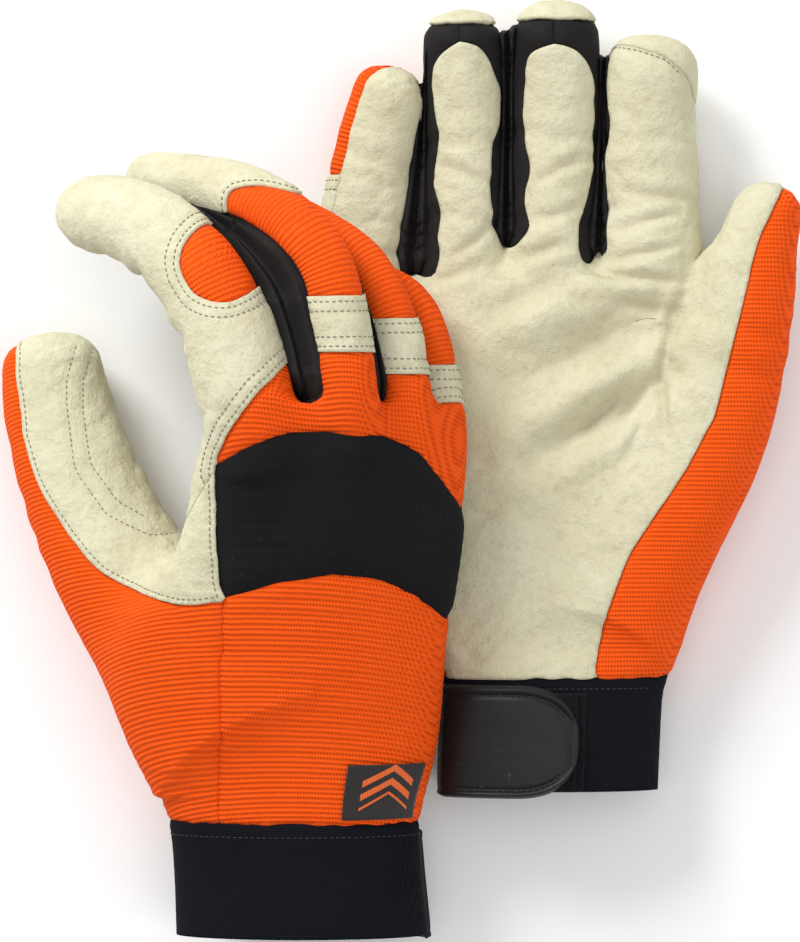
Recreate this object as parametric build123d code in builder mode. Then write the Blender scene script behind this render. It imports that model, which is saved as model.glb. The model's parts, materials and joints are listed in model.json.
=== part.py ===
from build123d import *
import os
from collections import namedtuple
from math import cos, radians, sin, sqrt

# A pair of right-hand work gloves. One lies palm up (rear), and the other leans over its edge, back up,
# with its fingers curled (front). +Y points to the fingertips, +Z up, and the pair stands on z = 0.
# Each glove is a hollow wrist-and-palm tube, called the trunk, with four finger tubes and a thumb tube.
# A panel is a stretch of such a tube, between two angles: 0 is the thumb side, 90 the back of the hand,
# 180 the little-finger side and 270 the palm.

# ---- driving dimensions, in mm and degrees -------------------------------------------------------------
WALL = 1.6                # leather or cloth with its lining
CUFF_WALL = 2.2           # doubled elastic
CUFF_HEIGHT = 36.0
SEAM = 0.05               # gap between two panels of one glove
STRAP_WIDTH = 33.0
STRAP_GAP = 1.9           # from the cuff to the underside of the strap
STRAP_WALL = 2.2
STRAP_ROOT = 192.0        # where the strap is sewn to the cuff
STRAP_HINGE = 225.0       # where it bends when it is opened
STRAP_TIP = 283.0
BINDING_WIDTH = 3.4
BINDING_TURN = 5.0        # the binding's width round the tip, as an angle of the cuff
BINDING_PROUD = 0.4
ROOT_WALL = 1.1           # the thin sewn end of the strap
ROOT_GAP = 3.2            # room for the bend, as an angle of the cuff
PATCH_WALL = 0.7          # hook and loop patches
LABEL_HEIGHT = 18.0
KNUCKLE_GAP = 0.4         # from the end of the trunk to the panels of the fingers
GUSSET_FOLD = 3.0         # the fold of a gusset between two fingers
SECTION_STEP = 8.0       # spacing of the sections that a panel is lofted through
TOP = 130.0               # above everything
SCRAP = 0.05              # loose offcuts of a trimmed piece, as a share of its volume, are dropped

Ring = namedtuple("Ring", "x y z half_width half_height roll", defaults=(0,))


class Tube:
    """A bending oval tube through a list of rings, with a rounded end if dome is not 0."""

    def __init__(self, back, rings, dome=0.0, upright=False):
        self.back = Vector(*back)
        self.rings = rings
        self.dome = dome
        self.upright = upright
        self.lengths = [0.0]
        for a, b in zip(rings, rings[1:]):
            step = sqrt((b.x - a.x) ** 2 + (b.y - a.y) ** 2 + (b.z - a.z) ** 2)
            self.lengths.append(self.lengths[-1] + step)
        self.length = self.lengths[-1]

    def ring(self, along):
        """The ring at a length along the tube, by a smooth curve through the given rings."""
        spot = 0
        while spot < len(self.rings) - 2 and along > self.lengths[spot + 1]:
            spot += 1
        span = self.lengths[spot + 1] - self.lengths[spot]
        t = (along - self.lengths[spot]) / span
        last = len(self.rings) - 1
        before, a = self.rings[max(spot - 1, 0)], self.rings[spot]
        b, after = self.rings[spot + 1], self.rings[min(spot + 2, last)]
        values = []
        for p, q, r, s in zip(before, a, b, after):
            bend = (2 * p - 5 * q + 4 * r - s) + t * (3 * (q - r) + s - p)
            values.append(q + t * ((r - p) + t * bend) / 2)
        return Ring(*values)

    def plane(self, along):
        """The section plane there: x runs to the thumb side, and y to the back of the hand."""
        middle = self.ring(along)
        a, b = self.ring(max(along - 1, 0)), self.ring(min(along + 1, self.length))
        run = Vector(0, 1, 0) if self.upright else Vector(b.x - a.x, b.y - a.y, b.z - a.z).normalized()
        back = (self.back - run * self.back.dot(run)).normalized()
        side = back.cross(run)
        turn = radians(middle.roll) * self.back.Z
        side = side * cos(turn) + back * sin(turn)
        return Plane(origin=(middle.x, middle.y, middle.z), x_dir=side, z_dir=run)

    def half_sizes(self, along, proud):
        middle = self.ring(along)
        left = self.length - along
        shrink = 1.0
        if self.dome and left < self.dome:
            shrink = sqrt(1 - (1 - left / self.dome) ** 2)
        return middle.half_width * shrink + proud, middle.half_height * shrink + proud

    def length_past(self, y):
        """The length at which the tube first reaches that y."""
        along = 0.0
        while self.ring(along).y < y:
            along += 0.5
        return along

    def wall_point(self, along, side):
        """The middle of the wall on the thumb side (1) or the little-finger side (-1)."""
        wide, _ = self.half_sizes(along, -WALL / 2)
        return self.plane(along).from_local_coords(Vector(side * wide, 0, 0))

    def sections(self, start, end):
        """Lengths to loft through, closer together where the end is rounded."""
        straight_end = min(end, self.length - self.dome)
        lengths = []
        if straight_end > start:
            count = max(2, round((straight_end - start) / SECTION_STEP))
            lengths = [start + (straight_end - start) * i / count for i in range(count + 1)]
        if end > straight_end:
            first = max(start, self.length - self.dome)
            for part in (0, 0.4, 0.7, 0.9, 0.985):
                at = self.length - self.dome * (1 - part)
                if first + 0.5 < at <= end:
                    lengths.append(at)
            if start >= self.length - self.dome:
                lengths.insert(0, start)
        return lengths


def angle_at(edge, along):
    """A panel edge is one angle, or (length, angle) points joined by straight lines."""
    if isinstance(edge, (int, float)):
        return edge
    if along <= edge[0][0]:
        return edge[0][1]
    for (l0, a0), (l1, a1) in zip(edge, edge[1:]):
        if along <= l1:
            return a0 + (a1 - a0) * (along - l0) / (l1 - l0)
    return edge[-1][1]


def panel(tube, start, end, from_edge, to_edge, proud=0.0, wall=WALL):
    """A curved strip of the tube's wall between two lengths and two edges."""
    with BuildPart() as strip:
        for along in tube.sections(start, end):
            wide, high = tube.half_sizes(along, proud)
            depth = min(wall, wide * 0.7, high * 0.7)
            first, last = angle_at(from_edge, along), angle_at(to_edge, along)
            with BuildSketch(tube.plane(along)):
                with BuildLine():
                    outer = EllipticalCenterArc((0, 0), wide, high, first, arc_size=last - first)
                    inner_wide, inner_high = wide - depth, high - depth
                    inner = EllipticalCenterArc((0, 0), inner_wide, inner_high, first, arc_size=last - first)
                    Line(outer @ 0, inner @ 0)
                    Line(outer @ 1, inner @ 1)
                make_face()
        loft(ruled=True)
    return strip.part


def filled(tube, start, end, proud=0.0):
    """The tube as a full solid, used to cut other pieces."""
    with BuildPart() as solid:
        for along in tube.sections(start, end):
            wide, high = tube.half_sizes(along, proud)
            with BuildSketch(tube.plane(along)):
                Ellipse(wide, high)
        loft(ruled=True)
    return solid.part


def band_between(lower, upper):
    """A tall block whose plan is bounded by two arcs, each through three points."""
    with BuildPart() as block:
        with BuildSketch(Plane.XY.offset(-TOP)):
            with BuildLine():
                low = ThreePointArc(*lower)
                high = ThreePointArc(*upper)
                Line(low @ 0, high @ 0)
                Line(low @ 1, high @ 1)
            make_face()
        extrude(amount=2 * TOP)
    return block.part


def tall_oval(middle, half_x, half_y, turn):
    with BuildPart() as block:
        with BuildSketch(Plane.XY.offset(-TOP)):
            with Locations(Location((middle[0], middle[1], 0), (0, 0, turn))):
                Ellipse(half_x, half_y)
        extrude(amount=2 * TOP)
    return block.part


def keep(piece, node):
    """Label a finished piece and write its file."""
    solids = piece.part.solids()
    whole = max(solid.volume for solid in solids)
    scraps = [solid for solid in solids if solid.volume < SCRAP * whole]
    if scraps:
        with piece:
            for scrap in scraps:
                add(scrap, mode=Mode.SUBTRACT)
    piece.part.label = node
    export_step(piece.part, f"parts/{node}.step")


# ---- the two poses ------------------------------------------------------------------------------------
FINGERS = ("index", "middle", "ring", "little")

rear = dict(
    back=(0, 0, -1),
    trunk=[
        Ring(47.0, -103, 15.8, 34.0, 16.4),
        Ring(48.0, -66, 16.0, 34.8, 16.0),
        Ring(45.0, -53, 15.0, 40.5, 15.0),
        Ring(41.5, -34, 14.6, 45.0, 14.6),
        Ring(38.5, -9, 14.6, 50.0, 14.6),
        Ring(36.0, 22, 14.4, 54.5, 14.4),
        Ring(35.0, 48, 14.2, 58.0, 14.0),
        Ring(35.0, 59, 14.0, 58.5, 13.0),
    ],
    index=[
        Ring(78.5, 46, 14.0, 15.0, 12.0),
        Ring(79.0, 67, 14.0, 15.8, 12.5),
        Ring(78.7, 92, 14.0, 15.3, 12.3),
        Ring(78.3, 114, 16.0, 14.8, 12.0),
        Ring(79.8, 136.5, 21.0, 13.5, 10.5),
    ],
    middle=[
        Ring(46.5, 46, 14.0, 13.6, 12.3),
        Ring(47.6, 70, 13.8, 14.1, 12.6),
        Ring(48.7, 98, 14.2, 14.6, 12.4),
        Ring(49.2, 123, 17.0, 14.3, 12.0),
        Ring(49.0, 147.3, 23.0, 13.0, 10.5),
    ],
    ring=[
        Ring(18.0, 46, 14.0, 13.0, 12.3),
        Ring(19.5, 67, 13.4, 13.0, 12.2),
        Ring(20.0, 92, 14.0, 13.0, 12.0),
        Ring(20.0, 117, 16.0, 13.0, 11.5),
        Ring(19.5, 144, 22.0, 12.0, 10.5),
    ],
    little=[
        Ring(-12.0, 46, 13.0, 12.0, 11.5),
        Ring(-12.0, 70, 12.5, 13.0, 11.6),
        Ring(-10.0, 88, 13.0, 13.4, 11.3),
        Ring(-6.0, 108, 15.0, 12.3, 11.0),
        Ring(-1.5, 127, 19.0, 10.5, 10.0),
    ],
    thumb=[
        Ring(68.0, -44, 17.0, 16.5, 14.0),
        Ring(84.5, -15.5, 18.0, 18.0, 15.0),
        Ring(96.3, 10, 20.0, 18.5, 14.5),
        Ring(103.8, 35, 21.0, 17.3, 13.5),
        Ring(109.0, 57, 22.0, 15.0, 12.5),
        Ring(113.4, 74, 22.5, 11.8, 11.5),
        Ring(118.6, 90, 23.0, 9.5, 9.5),
    ],
    thumb_orange=(282, 420),
    side_edge=[(37, 296), (60, 306), (95, 334)],
    side_end=95,
    seam_edge=[(37, 62), (80, 55), (105, 40), (125, 30), (165, 30)],
    band=(((72, -6), (32, 4), (-26, -16)), ((72, 32), (32, 46), (-26, 22))),
    window=((79, 92), 10, 13, 0),
    label=(118, 157),
)

front = dict(
    back=(0, 0, 1),
    trunk=[
        Ring(-30.5, -147.8, 25.5, 39.2, 20.5, 0),
        Ring(-33.0, -111.8, 25.5, 38.8, 20.5, 0),
        Ring(-34.0, -84, 32.0, 45.5, 20.0, 4),
        Ring(-32.5, -52.5, 43.0, 47.0, 20.0, 8),
        Ring(-24.0, -21, 51.5, 43.5, 19.5, 15),
        Ring(-20.0, 6.5, 58.0, 42.5, 18.0, 22),
        Ring(-17.5, 20, 64.0, 40.5, 12.5, 28),
    ],
    index=[
        Ring(-41.5, 3, 70.0, 12.5, 12.5, 20),
        Ring(-46.0, 22, 75.0, 14.5, 13.5, 20),
        Ring(-51.0, 40, 74.0, 14.3, 13.3, 20),
        Ring(-59.0, 57, 71.0, 13.8, 13.0, 20),
        Ring(-67.5, 67, 66.0, 13.3, 12.8, 20),
        Ring(-77.0, 74.5, 58.0, 12.8, 12.3, 20),
        Ring(-90.0, 79.5, 46.0, 11.8, 11.3, 20),
        Ring(-102.5, 79.0, 34.0, 10.5, 10.5, 20),
    ],
    middle=[
        Ring(-17.0, 6, 57.0, 9.8, 18.5, 20),
        Ring(-16.9, 24, 73.0, 10.3, 11.6, 20),
        Ring(-19.5, 43, 74.5, 10.3, 11.6, 20),
        Ring(-23.5, 60, 73.5, 10.3, 11.6, 20),
        Ring(-31.5, 72, 70.0, 10.3, 11.4, 20),
        Ring(-44.0, 81.5, 60.0, 10.3, 11.0, 20),
        Ring(-60.5, 87.0, 42.0, 10.2, 10.6, 20),
        Ring(-82.0, 90.5, 19.0, 9.8, 9.8, 20),
    ],
    ring=[
        Ring(-1.0, 6, 48.5, 9.0, 16.5, 25),
        Ring(-0.5, 25, 59.5, 9.5, 10.8, 35),
        Ring(-5.0, 46, 57.0, 9.5, 10.8, 35),
        Ring(-12.0, 60, 53.5, 9.5, 10.5, 35),
        Ring(-21.0, 68.5, 49.5, 9.5, 9.8, 35),
        Ring(-33.0, 75.5, 39.5, 9.5, 9.6, 35),
        Ring(-43.5, 79.5, 28.0, 9.5, 9.6, 35),
        Ring(-55.0, 82, 12.0, 9.2, 9.2, 35),
    ],
    little=[
        Ring(8.5, 5, 45.0, 8.4, 8.6, 50),
        Ring(9.5, 22, 42.5, 8.9, 9.8, 50),
        Ring(5.5, 41, 41.0, 8.9, 9.8, 50),
        Ring(0.5, 50.5, 39.5, 8.8, 9.6, 50),
        Ring(-8.0, 56, 37.0, 8.6, 9.0, 50),
        Ring(-18.5, 59.5, 32.8, 8.2, 8.4, 50),
        Ring(-30.0, 61.5, 27.5, 8.0, 8.0, 50),
    ],
    thumb=[
        Ring(-56.0, -72, 32.0, 22.0, 16.0),
        Ring(-73.5, -50, 30.0, 23.5, 16.5),
        Ring(-88.0, -29.5, 26.5, 21.0, 15.5),
        Ring(-97.5, -11, 23.0, 19.2, 14.5),
        Ring(-104.0, 6.5, 19.5, 18.0, 14.0),
        Ring(-108.5, 22.5, 16.5, 16.5, 13.5),
        Ring(-111.0, 42.5, 14.0, 14.5, 12.5),
    ],
    thumb_orange=(290, 407),
    side_edge=[(37, 296), (60, 306), (110, 334)],
    side_end=102,
    seam_edge=[(37, 62), (75, 60), (106, 52), (122, 34), (138, 22), (160, 20), (190, 20)],
    band=(((-62, -40), (-15.3, -31), (26, -52)), ((-62, -4.5), (-17, 13.4), (26, -15))),
    window=((-53.5, 63.5), 12.5, 13, -35),
    label=(112, 156),
)

DOMES = dict(index=12, middle=12, ring=11, little=10, thumb=11)
# Where two panels of a glove run into each other at a seam, the first is cut back by the others.
CUT_BACK = {
    "ring_little_gusset": ("little_back",),
    "palm_leather": ("little_back", "middle_ring_gusset", "ring_little_gusset"),
    "upper_back": ("middle_knuckle_strip", "ring_knuckle_strip", "index_middle_gusset"),
}
os.makedirs("parts", exist_ok=True)


def make_glove(name, pose):
    pieces = {}
    trunk = Tube(pose["back"], pose["trunk"], upright=True)
    digits = {d: Tube(pose["back"], pose[d], dome=DOMES[d]) for d in DOMES}
    cuff_end = CUFF_HEIGHT + 1.0
    side_end = pose["side_end"]
    knuckle_line = pose["trunk"][-1].y + KNUCKLE_GAP
    side_from = pose["side_edge"]
    side_to = [(l, a + 359.7) for l, a in pose["seam_edge"]]
    trunk_outside = filled(trunk, cuff_end, trunk.length, 6 * SEAM)
    trunk_inside = filled(trunk, cuff_end, trunk.length, 0.3 - WALL)
    thumb_inside = filled(digits["thumb"], 0, digits["thumb"].length - 2, -WALL)

    def trunk_panel(start, end, first, last):
        return panel(trunk, start, end, first, last)

    # -- the palm, with the palm side of the four fingers, in one piece of leather
    palm_to = [(l, a - 0.3) for l, a in side_from] + [(side_end + 12, 378)]
    palm_strips = []
    for finger, first, last in (("index", 208, [(14, 322), (24, 394)]), ("middle", 218, 322),
                                ("ring", 218, 322), ("little", 224, 322)):
        tube = digits[finger]
        reach = tube.length if finger in ("index", "little") else tube.length - 6
        palm_strips.append(panel(tube, 0, reach, first, last))
    palm_base = trunk_panel(cuff_end, trunk.length, 202, palm_to)
    with BuildPart() as palm:
        add(palm_base)
        add(thumb_inside, mode=Mode.SUBTRACT)
        add(palm_strips)
    pieces["palm_leather"] = palm

    # -- the thumb: a leather sheath, and the cloth panel that runs down the side to the cuff
    thumb = digits["thumb"]
    orange_from, orange_to = pose["thumb_orange"]
    sheath = panel(thumb, 0, thumb.length, orange_to - 360, orange_from)
    with BuildPart() as thumb_leather:
        add(sheath)
        add(trunk_outside, mode=Mode.SUBTRACT)
    pieces["thumb_leather"] = thumb_leather
    stripe = panel(thumb, 0, thumb.length - 1.5, orange_from + 0.3, orange_to - 0.3)
    side = trunk_panel(cuff_end, side_end, side_from, side_to)
    with BuildPart() as side_cut:
        add(side)
        add(thumb_inside, mode=Mode.SUBTRACT)
    side_piece = side_cut.part
    with BuildPart() as thumb_panel:
        add(stripe)
        add(trunk_inside, mode=Mode.SUBTRACT)
        add(side_piece)
    pieces["thumb_panel"] = thumb_panel

    # -- the back of the hand: two cloth panels with the padded band between them
    back = trunk_panel(cuff_end, trunk.length, [(l, a + 0.3) for l, a in pose["seam_edge"]], 201.5)
    lower_arc, upper_arc = pose["band"]
    band_block = band_between(lower_arc, upper_arc)
    below = [(x, y - 300) for x, y in lower_arc]
    above = [(x, y + 300) for x, y in upper_arc]
    lower_block = band_between(below, [(x, y - SEAM) for x, y in lower_arc])
    upper_block = band_between([(x, y + SEAM) for x, y in upper_arc], above)
    with BuildPart() as knuckle_band:
        add(back)
        add(band_block, mode=Mode.INTERSECT)
    pieces["knuckle_band"] = knuckle_band
    with BuildPart() as lower_back:
        add(back)
        add(lower_block, mode=Mode.INTERSECT)
    pieces["lower_back"] = lower_back
    with BuildPart() as upper_back:
        add(back)
        add(upper_block, mode=Mode.INTERSECT)
    pieces["upper_back"] = upper_back

    # -- the index finger: leather over its back, with a cloth window
    index = digits["index"]
    index_top = panel(index, index.length_past(knuckle_line), index.length, 34.3, 150)
    window_block = tall_oval(*pose["window"])
    with BuildPart() as index_window:
        add(index_top)
        add(window_block, mode=Mode.INTERSECT)
    pieces["index_window"] = index_window
    with BuildPart() as index_leather:
        add(index_top)
        add(window_block, mode=Mode.SUBTRACT)
    pieces["index_leather"] = index_leather

    # -- the other fingers: a leather knuckle strip, a cloth back and a leather cap
    for finger, last in (("middle", 149.7), ("ring", 149.7), ("little", 223.7)):
        tube = digits[finger]
        strip_end = 46
        has_cap = finger != "little"
        cap_start = tube.length - 34 if has_cap else tube.length
        strip_piece = panel(tube, tube.length_past(knuckle_line), strip_end, 30.3, last)
        back_piece = panel(tube, strip_end + 0.1, cap_start, 30.3, last)
        with BuildPart() as knuckle_strip:
            add(strip_piece)
        pieces[f"{finger}_knuckle_strip"] = knuckle_strip
        with BuildPart() as finger_back:
            add(back_piece)
        pieces[f"{finger}_back"] = finger_back
        if has_cap:
            cap_piece = panel(tube, cap_start + 0.1, tube.length, 30.3, last)
            with BuildPart() as finger_cap:
                add(cap_piece)
            pieces[f"{finger}_cap"] = finger_cap

    # -- the narrow gussets between the fingers, which also wrap round the middle and ring tips
    for near, far in zip(FINGERS, FINGERS[1:]):
        near_tube, far_tube = digits[near], digits[far]
        walls = []
        near_end = near_tube.length - (14 if near == "index" else 0)
        far_end = far_tube.length - (9 if far == "little" else 0)
        near_last, far_first = 207.7, 322.3
        if near != "index":
            near_last = [(near_tube.length - 7, 217.7), (near_tube.length - 5.5, 269.9)]
        if far != "little":
            far_first = [(far_tube.length - 7, 322.3), (far_tube.length - 5.5, 270.1)]
        near_start, far_start = near_tube.length_past(knuckle_line), far_tube.length_past(knuckle_line)
        walls.append(panel(near_tube, near_start, near_end, 150.3, near_last))
        walls.append(panel(far_tube, far_start, far_end, far_first, 390))
        fold_near = near_tube.wall_point(near_start + GUSSET_FOLD / 2, -1)
        fold_far = far_tube.wall_point(far_start + GUSSET_FOLD / 2, 1)
        fold = fold_far - fold_near
        fold_plane = Plane(origin=(fold_near + fold_far) / 2, z_dir=fold)
        with BuildPart() as gusset:
            add(walls)
            with BuildSketch(fold_plane):
                Rectangle(GUSSET_FOLD, GUSSET_FOLD)
            extrude(amount=fold.length / 2, both=True)
        pieces[f"{near}_{far}_gusset"] = gusset

    # -- the elastic cuff, its label and its strap
    cuff_outside = filled(trunk, 0, CUFF_HEIGHT)
    cuff_inside = filled(trunk, -0.5, CUFF_HEIGHT + 0.5, -CUFF_WALL)
    with BuildPart() as cuff:
        add(cuff_outside)
        add(cuff_inside, mode=Mode.SUBTRACT)
        with Locations((0, 0, -TOP / 2)):
            Box(4 * TOP, 4 * TOP, TOP, mode=Mode.SUBTRACT)
    pieces["cuff"] = cuff

    strap_start = (CUFF_HEIGHT - STRAP_WIDTH) / 2
    strap_end = strap_start + STRAP_WIDTH

    def wrapped(start, end, first, last, inner, outer):
        return panel(trunk, start, end, first, last, proud=outer, wall=outer - inner)

    strap_outer = STRAP_GAP + STRAP_WALL
    loop_piece = wrapped(strap_start + 3, strap_end - 3, 240, 300, 0.05, PATCH_WALL)
    with BuildPart() as loop_patch:
        add(loop_piece)
    pieces["loop_patch"] = loop_patch
    root_piece = wrapped(strap_start, strap_end, STRAP_ROOT, STRAP_HINGE - ROOT_GAP, 0.05, ROOT_WALL)
    with BuildPart() as strap_root:
        add(root_piece)
    pieces["strap_root"] = strap_root
    inner_tip = STRAP_TIP - BINDING_TURN
    first_edge, last_edge = strap_start + BINDING_WIDTH, strap_end - BINDING_WIDTH
    face_start, face_end = first_edge + SEAM, last_edge - SEAM
    strap_piece = wrapped(face_start, face_end, STRAP_HINGE, inner_tip - 0.2, STRAP_GAP, strap_outer)
    with BuildPart() as strap:
        add(strap_piece)
    pieces["strap"] = strap
    rim_outer = strap_outer + BINDING_PROUD
    rim_piece = wrapped(strap_start, strap_end, STRAP_HINGE, STRAP_TIP, STRAP_GAP, rim_outer)
    rim_hole = wrapped(first_edge, last_edge, STRAP_HINGE - 2, inner_tip, STRAP_GAP - 1, rim_outer + 1)
    with BuildPart() as strap_binding:
        add(rim_piece)
        add(rim_hole, mode=Mode.SUBTRACT)
    pieces["strap_binding"] = strap_binding
    hook_inner, hook_outer = PATCH_WALL + 0.35, STRAP_GAP - 0.05
    hook_piece = wrapped(strap_start + 3, strap_end - 3, 256, STRAP_TIP - 1, hook_inner, hook_outer)
    with BuildPart() as hook_patch:
        add(hook_piece)
    pieces["hook_patch"] = hook_patch
    label_piece = wrapped(cuff_end + 0.5, cuff_end + LABEL_HEIGHT, *pose["label"], 0.35, 1.3)
    with BuildPart() as label:
        add(label_piece)
    pieces["label"] = label

    for node, neighbours in CUT_BACK.items():
        with pieces[node]:
            for neighbour in neighbours:
                add(pieces[neighbour].part, mode=Mode.SUBTRACT)
    for node, piece in pieces.items():
        keep(piece, f"{name}_{node}")


make_glove("rear", rear)
make_glove("front", front)
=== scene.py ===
import json
from collections import Counter, defaultdict, namedtuple
from math import cos, pi, radians, sin, sqrt

import bpy
import numpy as np
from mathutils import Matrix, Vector, noise
from mathutils.bvhtree import BVHTree
from mathutils.kdtree import KDTree


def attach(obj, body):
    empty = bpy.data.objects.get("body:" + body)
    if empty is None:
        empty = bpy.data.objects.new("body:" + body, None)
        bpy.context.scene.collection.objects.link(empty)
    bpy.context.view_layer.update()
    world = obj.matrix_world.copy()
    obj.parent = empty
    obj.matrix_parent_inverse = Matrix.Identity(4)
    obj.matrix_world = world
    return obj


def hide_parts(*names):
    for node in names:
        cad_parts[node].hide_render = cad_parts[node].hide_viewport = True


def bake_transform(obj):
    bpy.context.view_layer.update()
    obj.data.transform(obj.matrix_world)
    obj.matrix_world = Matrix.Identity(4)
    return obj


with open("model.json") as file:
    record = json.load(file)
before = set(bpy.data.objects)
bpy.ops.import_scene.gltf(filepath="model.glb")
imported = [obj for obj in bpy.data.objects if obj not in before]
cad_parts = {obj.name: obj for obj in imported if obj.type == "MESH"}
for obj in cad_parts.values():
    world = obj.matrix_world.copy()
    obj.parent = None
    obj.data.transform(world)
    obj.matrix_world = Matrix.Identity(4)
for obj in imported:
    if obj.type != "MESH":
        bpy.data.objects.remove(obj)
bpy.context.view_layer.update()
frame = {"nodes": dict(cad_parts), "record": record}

# The looks of a pair of work gloves. Lengths below are in millimetres and become metres when a mesh is made.
# Each glove's outer skin is one smooth surface round its palm tube (the trunk) and its five finger tubes.
# The skin is cut into panels along the seams of the CAD nodes, and every panel becomes a closed sheet of
# leather, cloth or foam with its own edges, puff, folds and stitches.

MM = 0.001
VOXEL = 1.05
SAMPLE_STEP = 1.5
CUFF_HEIGHT = 36.0
CUFF_RISE = 2.7            # the worn cuff rides a little further up than the CAD cuff
CUFF_TOP = CUFF_HEIGHT + CUFF_RISE
RIB_LEAN = {"rear": 0.0, "front": 0.35}    # how far the ribs of the back lean forward as they rise
ROOT_REACH = 9.0           # how far from the finger roots the softer joints reach
FAR = 99.0                 # a distance past anything that matters
ABOVE_GLOVES = 120.0
CHUNK = 60000              # points measured at a time, to save memory
NEAR_TUBE = 30             # points further than this from a digit count as far outside it
OUTSIDE = 50.0
LOWEST, HIGHEST = -8, 108  # heights between which the skin is looked for
SMALLEST_PATCH = 120       # points; a smaller stray patch of a panel joins its neighbour
FLOOR_CLEARANCE = 0.02
FINGER_WEB = 5.5   # softness of the fingers' joint with the palm
ROOT_WEB = {"rear": 9.0, "front": 0.0}
THUMB_WEB = {"rear": 20.0, "front": 26.0}
DIGITS = ("index", "middle", "ring", "little", "thumb")
NEIGHBOURS = (("index", "middle"), ("middle", "ring"), ("ring", "little"))
GUSSETS = [f"{near}_{far}_gusset" for near, far in NEIGHBOURS]
DOMES = dict(index=12, middle=12, ring=11, little=10, thumb=11)
Ring = namedtuple("Ring", "x y z half_width half_height roll", defaults=(0,))

# The same rings as the CAD tubes.
REAR = dict(
    back=(0, 0, -1),
    trunk=[(47.0, -103, 15.8, 34.0, 16.4), (48.0, -66, 16.0, 34.8, 16.0), (45.0, -53, 15.0, 40.5, 15.0),
           (41.5, -34, 14.6, 45.0, 14.6), (38.5, -9, 14.6, 50.0, 14.6), (36.0, 22, 14.4, 54.5, 14.4),
           (35.0, 48, 14.2, 58.0, 14.0), (35.0, 59, 14.0, 58.5, 13.0)],
    index=[(78.5, 46, 14.0, 15.0, 12.0), (79.0, 67, 14.0, 15.8, 12.5), (78.7, 92, 14.0, 15.3, 12.3),
           (78.3, 114, 16.0, 14.8, 12.0), (79.8, 136.5, 21.0, 13.5, 10.5)],
    middle=[(46.5, 46, 14.0, 13.6, 12.3), (47.6, 70, 13.8, 14.1, 12.6), (48.7, 98, 14.2, 14.6, 12.4),
            (49.2, 123, 17.0, 14.3, 12.0), (49.0, 147.3, 23.0, 13.0, 10.5)],
    ring=[(18.0, 46, 14.0, 13.0, 12.3), (19.5, 67, 13.4, 13.0, 12.2), (20.0, 92, 14.0, 13.0, 12.0),
          (20.0, 117, 16.0, 13.0, 11.5), (19.5, 144, 22.0, 12.0, 10.5)],
    little=[(-12.0, 46, 13.0, 12.0, 11.5), (-12.0, 70, 12.5, 13.0, 11.6), (-10.0, 88, 13.0, 13.4, 11.3),
            (-6.0, 108, 15.0, 12.3, 11.0), (-1.5, 127, 19.0, 10.5, 10.0)],
    thumb=[(68.0, -44, 17.0, 16.5, 14.0), (84.5, -15.5, 18.0, 18.0, 15.0), (96.3, 10, 20.0, 18.5, 14.5),
           (103.8, 35, 21.0, 17.3, 13.5), (109.0, 57, 22.0, 15.0, 12.5), (113.4, 74, 22.5, 11.8, 11.5),
           (118.6, 90, 23.0, 9.5, 9.5)],
)

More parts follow.
